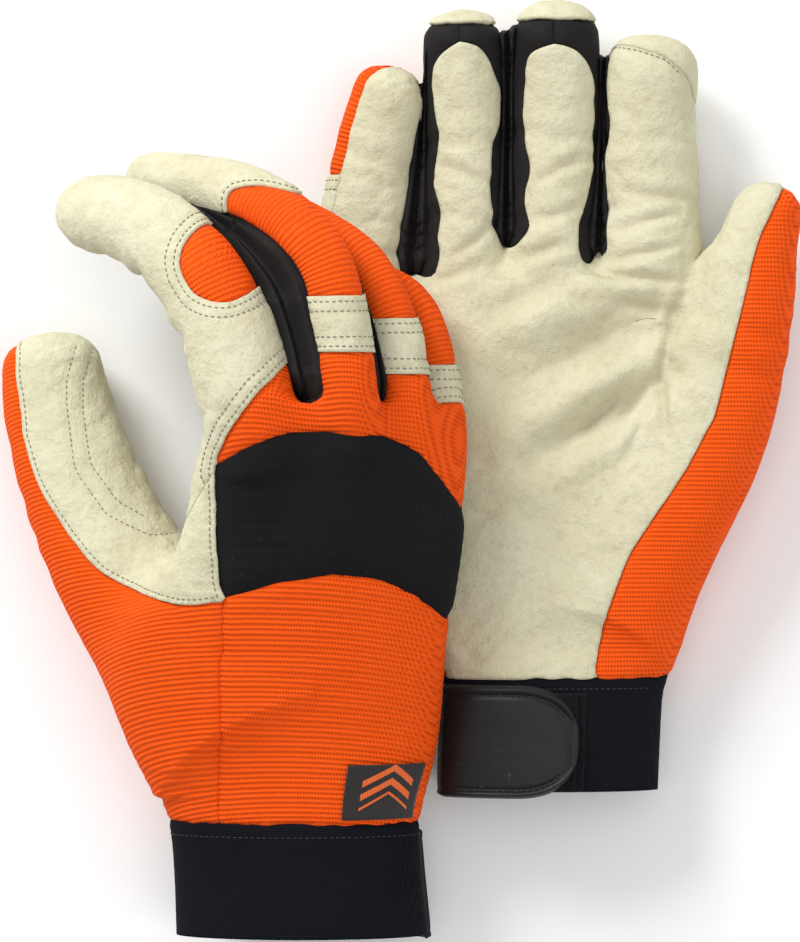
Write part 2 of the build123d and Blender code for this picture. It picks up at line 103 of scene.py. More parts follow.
FRONT = dict(
    back=(0, 0, 1),
    trunk=[(-30.5, -147.8, 25.5, 39.2, 20.5, 0), (-33.0, -111.8, 25.5, 38.8, 20.5, 0),
           (-34.0, -84, 32.0, 45.5, 20.0, 4), (-32.5, -52.5, 43.0, 47.0, 20.0, 8),
           (-24.0, -21, 51.5, 43.5, 19.5, 15), (-20.0, 6.5, 58.0, 42.5, 18.0, 22),
           (-17.5, 20, 64.0, 40.5, 12.5, 28)],
    index=[(-41.5, 3, 70.0, 12.5, 12.5, 20), (-46.0, 22, 75.0, 14.5, 13.5, 20),
           (-51.0, 40, 74.0, 14.3, 13.3, 20), (-59.0, 57, 71.0, 13.8, 13.0, 20),
           (-67.5, 67, 66.0, 13.3, 12.8, 20), (-77.0, 74.5, 58.0, 12.8, 12.3, 20),
           (-90.0, 79.5, 46.0, 11.8, 11.3, 20), (-102.5, 79.0, 34.0, 10.5, 10.5, 20)],
    middle=[(-17.0, 6, 57.0, 9.8, 18.5, 20), (-16.9, 24, 73.0, 10.3, 11.6, 20),
            (-19.5, 43, 74.5, 10.3, 11.6, 20), (-23.5, 60, 73.5, 10.3, 11.6, 20),
            (-31.5, 72, 70.0, 10.3, 11.4, 20), (-44.0, 81.5, 60.0, 10.3, 11.0, 20),
            (-60.5, 87.0, 42.0, 10.2, 10.6, 20), (-82.0, 90.5, 19.0, 9.8, 9.8, 20)],
    ring=[(-1.0, 6, 48.5, 9.0, 16.5, 25), (-0.5, 25, 59.5, 9.5, 10.8, 35), (-5.0, 46, 57.0, 9.5, 10.8, 35),
          (-12.0, 60, 53.5, 9.5, 10.5, 35), (-21.0, 68.5, 49.5, 9.5, 9.8, 35),
          (-33.0, 75.5, 39.5, 9.5, 9.6, 35), (-43.5, 79.5, 28.0, 9.5, 9.6, 35),
          (-55.0, 82, 12.0, 9.2, 9.2, 35)],
    little=[(8.5, 5, 45.0, 8.4, 8.6, 50), (9.5, 22, 42.5, 8.9, 9.8, 50), (5.5, 41, 41.0, 8.9, 9.8, 50),
            (0.5, 50.5, 39.5, 8.8, 9.6, 50), (-8.0, 56, 37.0, 8.6, 9.0, 50),
            (-18.5, 59.5, 32.8, 8.2, 8.4, 50), (-30.0, 61.5, 27.5, 8.0, 8.0, 50)],
    thumb=[(-56.0, -72, 32.0, 22.0, 16.0), (-73.5, -50, 30.0, 23.5, 16.5), (-88.0, -29.5, 26.5, 21.0, 15.5),
           (-97.5, -11, 23.0, 19.2, 14.5), (-104.0, 6.5, 19.5, 18.0, 14.0),
           (-108.5, 22.5, 16.5, 16.5, 13.5), (-111.0, 42.5, 14.0, 14.5, 12.5)],
)

for pose in (REAR, FRONT):
    for tube_name in ("trunk",) + DIGITS:
        pose[tube_name] = [Ring(*row) for row in pose[tube_name]]

# Creases across a digit's palm side: (length along the digit, depth, half-width).
CREASES = {
    "rear": {"index": [(38, 0.7, 2.0), (58, 0.5, 2.5)], "middle": [(33, 0.6, 2.0), (60, 0.6, 2.5)],
             "ring": [(34, 0.5, 2.0), (58, 0.5, 2.5)], "little": [(32, 0.5, 2.0), (54, 0.4, 2.5)],
             "thumb": [(86, 0.7, 3.0), (98, 0.5, 2.5)]},
    "front": {"index": [(46, 2.0, 3.0), (76, 2.2, 3.0), (101, 1.0, 3.0)],
              "middle": [(60, 1.4, 3.0), (90, 1.2, 3.0)], "ring": [(55, 1.2, 3.0), (85, 1.0, 3.0)],
              "little": [(45, 1.0, 3.0)],
              "thumb": [(62, 1.0, 3.0), (72, 1.2, 2.5), (84, 1.0, 2.5), (100, 0.8, 3.0)]},
}
# Folds in the leather of the palm: (from, to, depth, half-width), seen from above.
PALM_FOLDS = {
    "rear": [((34, 26), (90, 55), 3.5, 7.0), ((40, 3), (84, 31), 3.9, 4.8), ((62, 61), (90, 60), 1.7, 1.5),
             ((66, 66), (88, 71), 1.5, 1.5), ((69, 76), (87, 81), 1.2, 1.6), ((89, 56), (81, 30), 2.0, 1.8),
             ((81, 30), (83, 12), 1.8, 1.6), ((63, 6), (77, 27), 0.9, 1.4), ((70, 3), (79, 22), 0.9, 1.4),
             ((57, 12), (72, 29), 0.9, 1.4), ((36, 66), (52, 71), 1.6, 2.0), ((6, 58), (24, 64), 1.3, 2.0),
             ((28, 50), (52, 62), 1.6, 3.6), ((52, 56), (64, 50), 1.3, 2.6), ((16, 66), (30, 78), 1.1, 1.6),
             ((42, 78), (58, 84), 1.0, 1.6), ((44, 92), (60, 99), 0.9, 1.8), ((66, 88), (90, 86), 1.0, 1.7),
             ((64, 54), (88, 50), 1.2, 2.0), ((-16, 64), (2, 70), 0.9, 1.8), ((12, 96), (30, 90), 0.8, 1.8)],
    "front": [],
}


def spline_ring(tube, at):
    rings, lengths = tube["rings"], tube["lengths"]
    spot = min(int(np.searchsorted(lengths, at, side="right")) - 1, len(rings) - 2)
    spot = max(spot, 0)
    t = (at - lengths[spot]) / (lengths[spot + 1] - lengths[spot])
    last = len(rings) - 1
    p, q = np.array(rings[max(spot - 1, 0)]), np.array(rings[spot])
    r, s = np.array(rings[spot + 1]), np.array(rings[min(spot + 2, last)])
    return q + t * ((r - p) + t * ((2 * p - 5 * q + 4 * r - s) + t * (3 * (q - r) + s - p))) / 2


def unit(v):
    return v / np.linalg.norm(v, axis=-1, keepdims=True)


def bell(gap, width):
    """A smooth bump: 1 where the gap is 0, and near 0 from twice the width."""
    return np.exp(-(gap / width) ** 2)


def make_tube(back, rings, dome=0.0, upright=False):
    """Sampled middle line, section axes and half-sizes of a tube."""
    centres = np.array([ring[:3] for ring in rings])
    lengths = np.concatenate([[0], np.cumsum(np.linalg.norm(np.diff(centres, axis=0), axis=1))])
    tube = {"rings": rings, "lengths": lengths, "length": lengths[-1]}
    count = int(lengths[-1] / SAMPLE_STEP) + 1
    along = np.linspace(0, lengths[-1], count)
    if dome:
        extra = lengths[-1] - dome * np.array([0.9, 0.75, 0.6, 0.45, 0.3, 0.2, 0.1, 0.05])
        along = np.unique(np.concatenate([along, extra]))
    rows = np.array([spline_ring(tube, at) for at in along])
    before = np.array([spline_ring(tube, max(at - 1, 0)) for at in along])[:, :3]
    after = np.array([spline_ring(tube, min(at + 1, lengths[-1])) for at in along])[:, :3]
    run = unit(after - before)
    if upright:
        run[:] = (0, 1, 0)
    back = np.array(back, float)
    normal = unit(back - run * (run @ back)[:, None])
    side = np.cross(normal, run)
    turn = np.radians(rows[:, 5])[:, None] * back[2]
    side = side * np.cos(turn) + normal * np.sin(turn)
    normal = np.cross(run, side)
    shrink = np.ones(len(along))
    if dome:
        left = np.clip(lengths[-1] - along, 0, dome)
        shrink = np.sqrt(np.maximum(1 - (1 - left / dome) ** 2, 0.0004))
    tube.update(along=along, centre=rows[:, :3], run=run, side=side, normal=normal,
                wide=rows[:, 3] * shrink, high=rows[:, 4] * shrink, open_start=upright)
    return tube


def row_at(tube, at):
    """The number of a tube's sample nearest to a length along it."""
    return int(np.abs(tube["along"] - at).argmin())


def tube_coordinates(tube, points):
    """For each point: distance to the tube's wall, length along it, and the angle round it."""
    value = np.empty(len(points))
    along = np.empty(len(points))
    angle = np.empty(len(points))
    for start in range(0, len(points), CHUNK):
        chunk = slice(start, start + CHUNK)
        p = points[chunk]
        gap = ((p ** 2).sum(1)[:, None] - 2 * p @ tube["centre"].T + (tube["centre"] ** 2).sum(1)[None])
        if tube["open_start"]:
            gap = np.abs(p[:, 1][:, None] - tube["centre"][:, 1][None])
        k = gap.argmin(1)
        d = p - tube["centre"][k]
        a = (d * tube["side"][k]).sum(1)
        b = (d * tube["normal"][k]).sum(1)
        t = (d * tube["run"][k]).sum(1)
        wide, high = tube["wide"][k], tube["high"][k]
        q = np.sqrt((a / wide) ** 2 + (b / high) ** 2) + 1e-9
        f = (q - 1) * np.maximum(np.sqrt(a * a + b * b) / q, 0.8 * np.minimum(wide, high))
        last = len(tube["along"]) - 1
        over = (k == last) & (t > 0)
        f = np.where(over, np.maximum(f, t), f)
        if not tube["open_start"]:
            under = (k == 0) & (t < 0)
            f = np.where(under, np.maximum(f, -t), f)
        value[chunk] = f
        along[chunk] = tube["along"][k] + t
        angle[chunk] = np.degrees(np.arctan2(b / high, a / wide))
    return value, along, angle


def soft_min(a, b, k):
    h = np.maximum(k - np.abs(a - b), 0) / k
    return np.minimum(a, b) - h * h * k / 4


def blended(tubes, points, thumb_web, root_web):
    """Distance to the whole skin, with the digits joined softly to the palm and each other at their roots."""
    trunk = tube_coordinates(tubes["trunk"], points)[0]
    values = {}
    for digit in DIGITS:
        tube = tubes[digit]
        low, high = tube["centre"].min(0) - NEAR_TUBE, tube["centre"].max(0) + NEAR_TUBE
        near = np.all((points > low) & (points < high), axis=1)
        values[digit] = np.full(len(points), OUTSIDE)
        values[digit][near] = tube_coordinates(tube, points[near])[0]
    trunk_end = tubes["trunk"]["centre"][-1, 1]
    softness = 0.8 + root_web * bell(points[:, 1] - trunk_end, ROOT_REACH)
    fingers = values["index"]
    for digit in DIGITS[1:4]:
        fingers = soft_min(fingers, values[digit], softness)
    return soft_min(soft_min(trunk, fingers, FINGER_WEB), soft_min(trunk, values["thumb"], thumb_web), 0.8)


class Field:
    """The blended distance on a grid, with smooth look-up."""

    def __init__(self, tubes, thumb_web, root_web):
        reach = [tube["centre"] - np.maximum(tube["wide"], 14)[:, None] - 4 for tube in tubes.values()]
        low = np.min([r.min(0) for r in reach], axis=0)
        reach = [tube["centre"] + np.maximum(tube["wide"], 14)[:, None] + 4 for tube in tubes.values()]
        high = np.max([r.max(0) for r in reach], axis=0)
        low[1] = tubes["trunk"]["centre"][0, 1] - 8
        low[2] = max(low[2], LOWEST)
        high[2] = min(high[2], HIGHEST)
        self.low = low
        self.shape = np.ceil((high - low) / VOXEL).astype(int) + 1
        axes = [low[i] + VOXEL * np.arange(self.shape[i]) for i in range(3)]
        grid = np.stack(np.meshgrid(*axes, indexing="ij"), axis=-1).reshape(-1, 3)
        self.values = blended(tubes, grid, thumb_web, root_web).reshape(self.shape)

    def sample(self, points):
        spot = (points - self.low) / VOXEL
        cell = np.clip(np.floor(spot).astype(int), 0, self.shape - 2)
        f = np.clip(spot - cell, 0, 1)
        total = np.zeros(len(points))
        for dx in (0, 1):
            for dy in (0, 1):
                for dz in (0, 1):
                    weight = (np.abs(1 - dx - f[:, 0]) * np.abs(1 - dy - f[:, 1]) * np.abs(1 - dz - f[:, 2]))
                    total += weight * self.values[cell[:, 0] + dx, cell[:, 1] + dy, cell[:, 2] + dz]
        return total

    def slope(self, points):
        step = VOXEL
        out = np.empty_like(points)
        for axis in range(3):
            shift = np.zeros(3)
            shift[axis] = step
            out[:, axis] = (self.sample(points + shift) - self.sample(points - shift)) / (2 * step)
        return out

    def project(self, points, times=2):
        for _ in range(times):
            g = self.slope(points)
            points = points - g * (self.sample(points) / np.maximum((g * g).sum(1), 0.05))[:, None]
        return points

    def surface(self):
        """Surface nets: one vertex for each mixed cell, and one quad for each crossed grid edge."""
        inside = self.values < 0
        nx, ny, nz = self.shape
        corners = [(dx, dy, dz) for dx in (0, 1) for dy in (0, 1) for dz in (0, 1)]
        count = np.zeros((nx - 1, ny - 1, nz - 1), int)
        for dx, dy, dz in corners:
            count += inside[dx:nx - 1 + dx, dy:ny - 1 + dy, dz:nz - 1 + dz]
        mixed = (count > 0) & (count < 8)
        number = np.full(mixed.shape, -1)
        number[mixed] = np.arange(mixed.sum())
        points = self.low + (np.argwhere(mixed) + 0.5) * VOXEL
        quads = []
        for axis in range(3):
            a = [slice(None)] * 3
            b = [slice(None)] * 3
            a[axis], b[axis] = slice(0, -1), slice(1, None)
            crossed = inside[tuple(a)] != inside[tuple(b)]
            spots = np.argwhere(crossed)
            outward = inside[tuple(a)][tuple(spots.T)]
            u, v = (axis + 1) % 3, (axis + 2) % 3
            ok = (spots[:, u] > 0) & (spots[:, v] > 0)
            ok &= (spots[:, u] < mixed.shape[u]) & (spots[:, v] < mixed.shape[v])
            spots, outward = spots[ok], outward[ok]
            ring = []
            for du, dv in ((0, 0), (-1, 0), (-1, -1), (0, -1)):
                cell = spots.copy()
                cell[:, u] += du
                cell[:, v] += dv
                ring.append(number[tuple(cell.T)])
            ring = np.stack(ring, axis=1)
            ring[~outward] = ring[~outward][:, ::-1]
            quads.append(ring)
        return self.project(points, 3), np.concatenate(quads)


def sides_of(quads):
    return np.concatenate([quads[:, [i, (i + 1) % 4]] for i in range(4)])


def edges_of(faces):
    return np.unique(np.sort(sides_of(faces), axis=1), axis=0)


def neighbour_sum(points, edges):
    total = np.zeros_like(points)
    np.add.at(total, edges[:, 0], points[edges[:, 1]])
    np.add.at(total, edges[:, 1], points[edges[:, 0]])
    return total


def relax(points, edges, fixed, field, times, amount=0.5):
    """Evens out the mesh, and keeps it on the skin."""
    for _ in range(times):
        count = np.bincount(edges.ravel(), minlength=len(points))
        mean = neighbour_sum(points, edges) / np.maximum(count, 1)[:, None]
        moved = points + amount * (mean - points)
        moved[fixed] = points[fixed]
        points = field.project(moved, 1)
        points[fixed] = moved[fixed]
    return points


def soften(values, edges, times):
    """One number for each point, evened out along the edges."""
    total = len(values)
    count = np.maximum(np.bincount(edges.ravel(), minlength=total), 1)
    for _ in range(times):
        around = (np.bincount(edges[:, 0], values[edges[:, 1]], total)
                  + np.bincount(edges[:, 1], values[edges[:, 0]], total))
        values = 0.5 * values + 0.5 * around / count
    return values


def hollowness(points, edges, normals):
    """How far each point lies below the middle of its neighbours, in mm."""
    middle = np.stack([soften(points[:, i], edges, 1) for i in range(3)], axis=1)
    return 2 * ((middle - points) * normals).sum(1)


def drop_unused(points, faces, *extras):
    used = np.unique(faces)
    number = np.full(len(points), -1)
    number[used] = np.arange(len(used))
    return (points[used], number[faces]) + tuple(extra[used] for extra in extras)


def cut_wrist(points, faces, wrist):
    """Opens the skin at the wrist and levels its edge."""
    keep = points[faces][:, :, 1].mean(1) > wrist
    points, faces = drop_unused(points, faces[keep])
    pairs, counts = np.unique(np.sort(sides_of(faces), axis=1), axis=0, return_counts=True)
    rim = np.unique(pairs[counts == 1])
    rim = rim[points[rim, 1] < wrist + 3 * VOXEL]
    points[rim, 1] = wrist
    return points, faces, rim


NOT_SKIN = ("strap", "strap_binding", "strap_root", "hook_patch", "loop_patch", "label")


def nearest_nodes(points, glove):
    """The CAD node nearest to each point of the skin."""
    names = [n for n in frame["nodes"] if n.startswith(glove) and not n.endswith(NOT_SKIN)]
    vertices, polygons, owner = [], [], []
    for number, name in enumerate(names):
        mesh = frame["nodes"][name].data
        offset = len(vertices)
        vertices.extend(v.co / MM for v in mesh.vertices)
        for polygon in mesh.polygons:
            polygons.append([offset + i for i in polygon.vertices])
            owner.append(number)
    tree = BVHTree.FromPolygons(vertices, polygons)
    found = [owner[tree.find_nearest(Vector(p))[2]] for p in points]
    return names, np.array(found)


def vote(labels, edges, total, times, own=1.2):
    for _ in range(times):
        votes = np.zeros((len(labels), total))
        votes[np.arange(len(labels)), labels] = own
        np.add.at(votes, (edges[:, 0], labels[edges[:, 1]]), 1)
        np.add.at(votes, (edges[:, 1], labels[edges[:, 0]]), 1)
        labels = votes.argmax(1)
    return labels


def drop_islands(labels, edges, smallest):
    """Small stray patches take the label round them."""
    for _ in range(3):
        parent = list(range(len(labels)))

        def root(i):
            while parent[i] != i:
                parent[i] = parent[parent[i]]
                i = parent[i]
            return i

        same = edges[labels[edges[:, 0]] == labels[edges[:, 1]]]
        for a, b in same.tolist():
            ra, rb = root(a), root(b)
            if ra != rb:
                parent[ra] = rb
        roots = np.array([root(i) for i in range(len(labels))])
        size = Counter(roots.tolist())
        biggest = {}
        for r, c in size.items():
            if c > size.get(biggest.get(labels[r], -1), 0):
                biggest[labels[r]] = r
        small = np.array([size[r] < smallest for r in roots.tolist()])
        if not small.any():
            break
        neighbours = defaultdict(Counter)
        mixed = edges[labels[edges[:, 0]] != labels[edges[:, 1]]]
        for a, b in mixed.tolist():
            if small[a] and not small[b]:
                neighbours[roots[a]][labels[b]] += 1
            if small[b] and not small[a]:
                neighbours[roots[b]][labels[a]] += 1
        for i in np.nonzero(small)[0].tolist():
            if neighbours[roots[i]]:
                labels[i] = neighbours[roots[i]].most_common(1)[0][0]
    return labels


def smooth_seams(points, faces, face_labels, rim, field):
    """Runs the seams as smooth lines over the skin, then evens the mesh between them."""
    owner = np.tile(np.arange(len(faces)), 4)
    key = np.sort(sides_of(faces), axis=1)
    order = np.lexsort((key[:, 1], key[:, 0]))
    key, owner = key[order], owner[order]
    twin = np.nonzero((key[1:] == key[:-1]).all(1))[0]
    seam = face_labels[owner[twin]] != face_labels[owner[twin + 1]]
    seam_edges = key[twin[seam]]
    count = np.zeros(len(points))
    np.add.at(count, seam_edges.ravel(), 1)
    loose = (count == 2)
    loose[rim] = False
    for _ in range(14):
        points[loose] = 0.5 * points[loose] + 0.25 * neighbour_sum(points, seam_edges)[loose]
    points[loose] = field.project(points[loose], 2)
    fixed = count > 0
    fixed[rim] = True
    return relax(points, edges_of(faces), fixed, field, 6)


def normals_of(points, faces):
    a = points[faces[:, 2]] - points[faces[:, 0]]
    b = points[faces[:, 3]] - points[faces[:, 1]]
    face_normals = np.cross(a, b)
    out = np.zeros_like(points)
    for i in range(4):
        np.add.at(out, faces[:, i], face_normals)
    return out / np.maximum(np.linalg.norm(out, axis=1, keepdims=True), 1e-9)


def nearest_of(points):
    """A look-up for the nearest of some points."""
    tree = KDTree(len(points))
    for i, p in enumerate(points):
        tree.insert(p, i)
    tree.balance()
    return tree


def distance_to(points, targets):
    """The distance from each point to the nearest target."""
    if not len(targets):
        return np.full(len(points), FAR)
    tree = nearest_of(targets)
    return np.array([tree.find(p)[2] for p in points])


def rolling(points, size, seed):
    """Smooth noise between -1 and 1 with features of a given size."""
    shift = Vector((seed * 17.3, seed * 5.1, seed * 9.7))
    return np.array([noise.noise(Vector(p) / size + shift) for p in points])


# ---- materials ----------------------------------------------------------------------------------------
class Nodes:
    """A small helper that adds nodes to a material and links them."""

    def __init__(self, name):
        self.material = bpy.data.materials.new(name)
        self.material.use_nodes = True
        self.tree = self.material.node_tree
        self.shader = next(n for n in self.tree.nodes if n.type == "BSDF_PRINCIPLED")

    def add(self, kind, inputs=None, **settings):
        node = self.tree.nodes.new(kind)
        for key, value in settings.items():
            setattr(node, key, value)
        for key, value in (inputs or {}).items():
            if isinstance(value, bpy.types.NodeSocket):
                self.tree.links.new(value, node.inputs[key])
            else:
                node.inputs[key].default_value = value
        return node

    def math(self, operation, a, b=0.0):
        return self.add("ShaderNodeMath", {0: a, 1: b}, operation=operation).outputs[0]

    def plus(self, a, b):
        return self.math("ADD", a, b)

    def minus(self, a, b):
        return self.math("SUBTRACT", a, b)

    def times(self, a, b):
        return self.math("MULTIPLY", a, b)

    def wave(self, turn):
        """A sine between 0 and 1."""
        return self.plus(self.times(self.math("SINE", turn), 0.5), 0.5)

    def ramp(self, value, stops):
        node = self.add("ShaderNodeValToRGB", {"Fac": value})
        ramp = node.color_ramp
        while len(ramp.elements) < len(stops):
            ramp.elements.new(0.5)
        for element, (at, colour) in zip(ramp.elements, stops):
            element.position = at
            element.color = (*colour, 1)
        return node.outputs["Color"]

    def mix(self, fac, a, b, blend="MIX"):
        node = self.add("ShaderNodeMix", data_type="RGBA", blend_type=blend)
        for socket, value in ((node.inputs[0], fac), (node.inputs[6], a), (node.inputs[7], b)):
            if isinstance(value, bpy.types.NodeSocket):
                self.tree.links.new(value, socket)
            elif isinstance(value, tuple):
                socket.default_value = (*value, 1)
            else:
                socket.default_value = value
        return node.outputs[2]

    def noise(self, size_mm, detail=3.0, rough=0.55, vector=None):
        inputs = {"Scale": 1 / (size_mm * MM), "Detail": detail, "Roughness": rough}
        inputs["Vector"] = vector or self.position()
        return self.add("ShaderNodeTexNoise", inputs).outputs["Fac"]

    def cells(self, size_mm):
        inputs = {"Vector": self.position(), "Scale": 1 / (size_mm * MM)}
        return self.add("ShaderNodeTexVoronoi", inputs).outputs["Distance"]

    def cloth(self):
        """The two cloth coordinates of the UV map."""
        uv = self.add("ShaderNodeUVMap", uv_map="cloth").outputs["UV"]
        return self.add("ShaderNodeSeparateXYZ", {"Vector": uv}).outputs

    def weighted(self, *pairs):
        """The sum of some values, each times its weight."""
        total = None
        for value, weight in pairs:
            part = value if weight == 1 else self.times(value, weight)
            total = part if total is None else self.plus(total, part)
        return total

    def position(self):
        return self.add("ShaderNodeTexCoord").outputs["Object"]

    def attribute(self, name):
        return self.add("ShaderNodeAttribute", attribute_name=name).outputs["Fac"]

    def bump(self, height, distance_mm, strength=1.0, normal=None):
        inputs = {"Height": height, "Distance": distance_mm * MM, "Strength": strength}
        if normal is not None:
            inputs["Normal"] = normal
        return self.add("ShaderNodeBump", inputs).outputs["Normal"]

    def finish(self, colour, roughness, normal, sheen=0.0, specular=0.5):
        links = self.tree.links
        links.new(colour, self.shader.inputs["Base Color"])
        if isinstance(roughness, bpy.types.NodeSocket):
            links.new(roughness, self.shader.inputs["Roughness"])
        else:
            self.shader.inputs["Roughness"].default_value = roughness
        links.new(normal, self.shader.inputs["Normal"])
        self.shader.inputs["Sheen Weight"].default_value = sheen
        self.shader.inputs["Specular IOR Level"].default_value = specular
        return self.material


def leather_material():
    n = Nodes("pale_leather")
    blotch = n.noise(22, 3)
    grain = n.noise(2.6, 6, 0.65)
    fine = n.noise(0.7, 4, 0.7)
    pores = n.cells(1.5)
    # painted shade: how dark each point is made in the skin's creases, folds, crinkles and sewn grooves
    fold_shade = n.attribute("fold_shade")
    base = n.ramp(blotch, [(0.3, (0.600, 0.568, 0.385)), (0.5, (0.643, 0.615, 0.432)),
                           (0.72, (0.684, 0.660, 0.480))])
    # darker where the grain noise is low; the same noise raises the grain's bump
    grain_tone = n.ramp(grain, [(0.3, (0.88, 0.86, 0.80)), (0.52, (1, 1, 1))])
    colour = n.mix(0.8, base, grain_tone, "MULTIPLY")
    hole = n.ramp(pores, [(0.06, (0.80, 0.74, 0.62)), (0.22, (1, 1, 1))])
    colour = n.mix(0.4, colour, hole, "MULTIPLY")
    # painted shade: the leather darkens towards a dull brown in its creases and folds
    colour = n.mix(fold_shade, colour, (0.47, 0.41, 0.27), "MIX")
    height = n.weighted((grain, 0.55), (fine, 0.25), (n.math("MINIMUM", pores, 0.3), 0.5))
    creases = n.noise(5.5, 2, 0.5)
    normal = n.bump(creases, 1.8, 0.55)
    furrow = n.math("MINIMUM", n.math("ABSOLUTE", n.minus(n.noise(1.9, 2, 0.5), 0.5)), 0.09)
    normal = n.bump(furrow, 1.3, 0.5, normal)
    normal = n.bump(height, 0.75, 0.9, normal)
    return n.finish(colour, n.plus(0.66, n.times(fine, 0.2)), normal, 0.0, 0.2)


def knit_material(name, dark, mid, light, rib_mm, column_mm, depth_mm, rough=0.8, specular=0.1,
                  groove_shade=0.16, hole_shade=0.55):
    """Ribbed knit: ribs across the limb, and fine columns of holes along it, from the UV map in metres. The
    dark colour is painted shade, mixed in over the grooves, the holes and the creases and folds.
    """
    n = Nodes(name)
    across, along = n.cloth()[:2]
    wobble = n.times(n.minus(n.noise(14, 2), 0.5), 0.9)
    rib = n.wave(n.plus(n.times(along, 2 * pi / (rib_mm * MM)), wobble))
    column = n.wave(n.times(across, 2 * pi / (column_mm * MM)))
    hole = n.times(n.minus(1.0, rib), n.minus(1.0, column))
    fibre = n.noise(0.5, 3, 0.7)
    shade = n.noise(30, 3)
    colour = n.mix(n.times(shade, 0.8), mid, light)
    # painted shade: darker in the grooves between the ribs, between the columns and in the holes
    groove = n.math("POWER", n.minus(1.0, rib), 2.0)
    colour = n.mix(n.times(groove, groove_shade), colour, dark)
    between = n.math("POWER", n.minus(1.0, column), 2.0)
    colour = n.mix(n.times(between, groove_shade), colour, dark)
    colour = n.mix(n.times(n.math("POWER", hole, 2.0), hole_shade), colour, dark)
    # painted shade in the skin's creases and folds
    colour = n.mix(n.times(n.attribute("fold_shade"), 0.5), colour, dark)
    height = n.minus(rib, n.times(hole, 0.9))
    height = n.plus(height, n.times(fibre, 0.3))
    normal = n.bump(height, depth_mm, 0.9)
    return n.finish(colour, rough, normal, 0.0, specular)


def foam_cloth_material(name, colour_a, colour_b, grain_mm, depth_mm, rough, specular):
    n = Nodes(name)
    broad = n.noise(18, 3)
    grain = n.noise(grain_mm, 4, 0.7)
    lint = n.cells(7)
    colour = n.mix(broad, colour_a, colour_b)
    speck = n.ramp(lint, [(0.035, (0.5, 0.5, 0.5)), (0.06, (0, 0, 0))])
    colour = n.mix(speck, colour, (0.05, 0.05, 0.053))
    height = n.weighted((grain, 1), (broad, 0.6))
    return n.finish(colour, rough, n.bump(height, depth_mm, 0.7), 0.0, specular)


def smooth_plastic_material(name, colour_a, colour_b, rough):
    n = Nodes(name)
    broad = n.noise(9, 4, 0.6)
    grain = n.noise(0.9, 3, 0.6)
    scuff = n.noise(3.0, 5, 0.8)
    colour = n.mix(broad, colour_a, colour_b)
    colour = n.mix(n.times(n.math("GREATER_THAN", scuff, 0.67), 0.25), colour, (0.12, 0.12, 0.13))
    normal = n.bump(n.weighted((grain, 1), (broad, 1.4)), 0.22, 0.6)
    return n.finish(colour, n.plus(rough, n.times(scuff, 0.25)), normal, 0.0, 0.3)


def fuzz_material(name, colour_a, colour_b):
    n = Nodes(name)
    tuft = n.noise(0.8, 5, 0.85)
    loops = n.cells(1.1)
    colour = n.mix(tuft, colour_a, colour_b)
    normal = n.bump(n.plus(tuft, loops), 0.7, 1.0)
    return n.finish(colour, 0.95, normal, 0.05, 0.05)


def thread_material(name, colour_a, colour_b):
    n = Nodes(name)
    twist = n.add("ShaderNodeTexWave", {"Vector": n.position(), "Scale": 500.0, "Distortion": 1.0},
                  bands_direction="DIAGONAL").outputs["Fac"]
    colour = n.mix(n.noise(4, 2), colour_a, colour_b)
    return n.finish(colour, 0.7, n.bump(twist, 0.12, 0.8), 0.1, 0.3)


def label_material():
    """Black tape woven with plain orange chevron stripes."""
    n = Nodes("label_cloth")
    x, y = n.cloth()[:2]
    aside = n.math("ABSOLUTE", n.minus(x, 0.5))
    bent = n.weighted((y, 1), (aside, 0.9))
    stripe = n.math("GREATER_THAN", n.math("FRACT", n.times(bent, 4.0)), 0.5)
    centred = n.math("LESS_THAN", n.math("ABSOLUTE", n.minus(bent, 0.75)), 0.3)
    inside = n.times(n.math("LESS_THAN", aside, 0.33), centred)
    mask = n.times(stripe, inside)
    wave = {"Vector": n.position(), "Scale": 420.0, "Distortion": 0.6}
    weave = n.add("ShaderNodeTexWave", wave).outputs["Fac"]
    colour = n.mix(mask, (0.018, 0.014, 0.014), (0.93, 0.16, 0.02))
    colour = n.mix(n.times(weave, 0.3), colour, (0.01, 0.008, 0.008))
    return n.finish(colour, 0.6, n.bump(n.plus(weave, mask), 0.2, 0.7), 0.2, 0.3)


MATERIALS = {
    "leather": leather_material(),
    # dark: the colour of the painted shade in the knit's grooves, holes and folds
    "orange_cloth": knit_material(
        "orange_knit", dark=(0.55, 0.035, 0.002), mid=(0.98, 0.098, 0.006), light=(1.0, 0.125, 0.009),
        rib_mm=1.45, column_mm=0.85, depth_mm=0.30),
    "neoprene": foam_cloth_material(
        "knuckle_foam", (0.007, 0.007, 0.008), (0.013, 0.013, 0.0145),
        grain_mm=0.5, depth_mm=0.2, rough=0.85, specular=0.10),
    "gusset_cloth": foam_cloth_material(
        "gusset_stretch", (0.008, 0.007, 0.007), (0.020, 0.018, 0.018),
        grain_mm=0.8, depth_mm=0.25, rough=0.7, specular=0.14),
    # dark: the colour of the painted shade in the elastic's grooves and holes
    "cuff_elastic": knit_material(
        "cuff_elastic", dark=(0.0025, 0.003, 0.0045), mid=(0.0055, 0.0065, 0.0095),
        light=(0.010, 0.0115, 0.016), rib_mm=0.75, column_mm=0.7, depth_mm=0.16, rough=0.85, specular=0.08),
    "strap_face": smooth_plastic_material(
        "strap_face", (0.005, 0.0055, 0.0065), (0.010, 0.0105, 0.0125), rough=0.34),
    "strap_edging": smooth_plastic_material(
        "strap_edging", (0.007, 0.0075, 0.009), (0.012, 0.0125, 0.015), rough=0.4),
    "hook_and_loop": fuzz_material("hook_and_loop", (0.004, 0.004, 0.005), (0.016, 0.016, 0.018)),
    "label_cloth": label_material(),
}
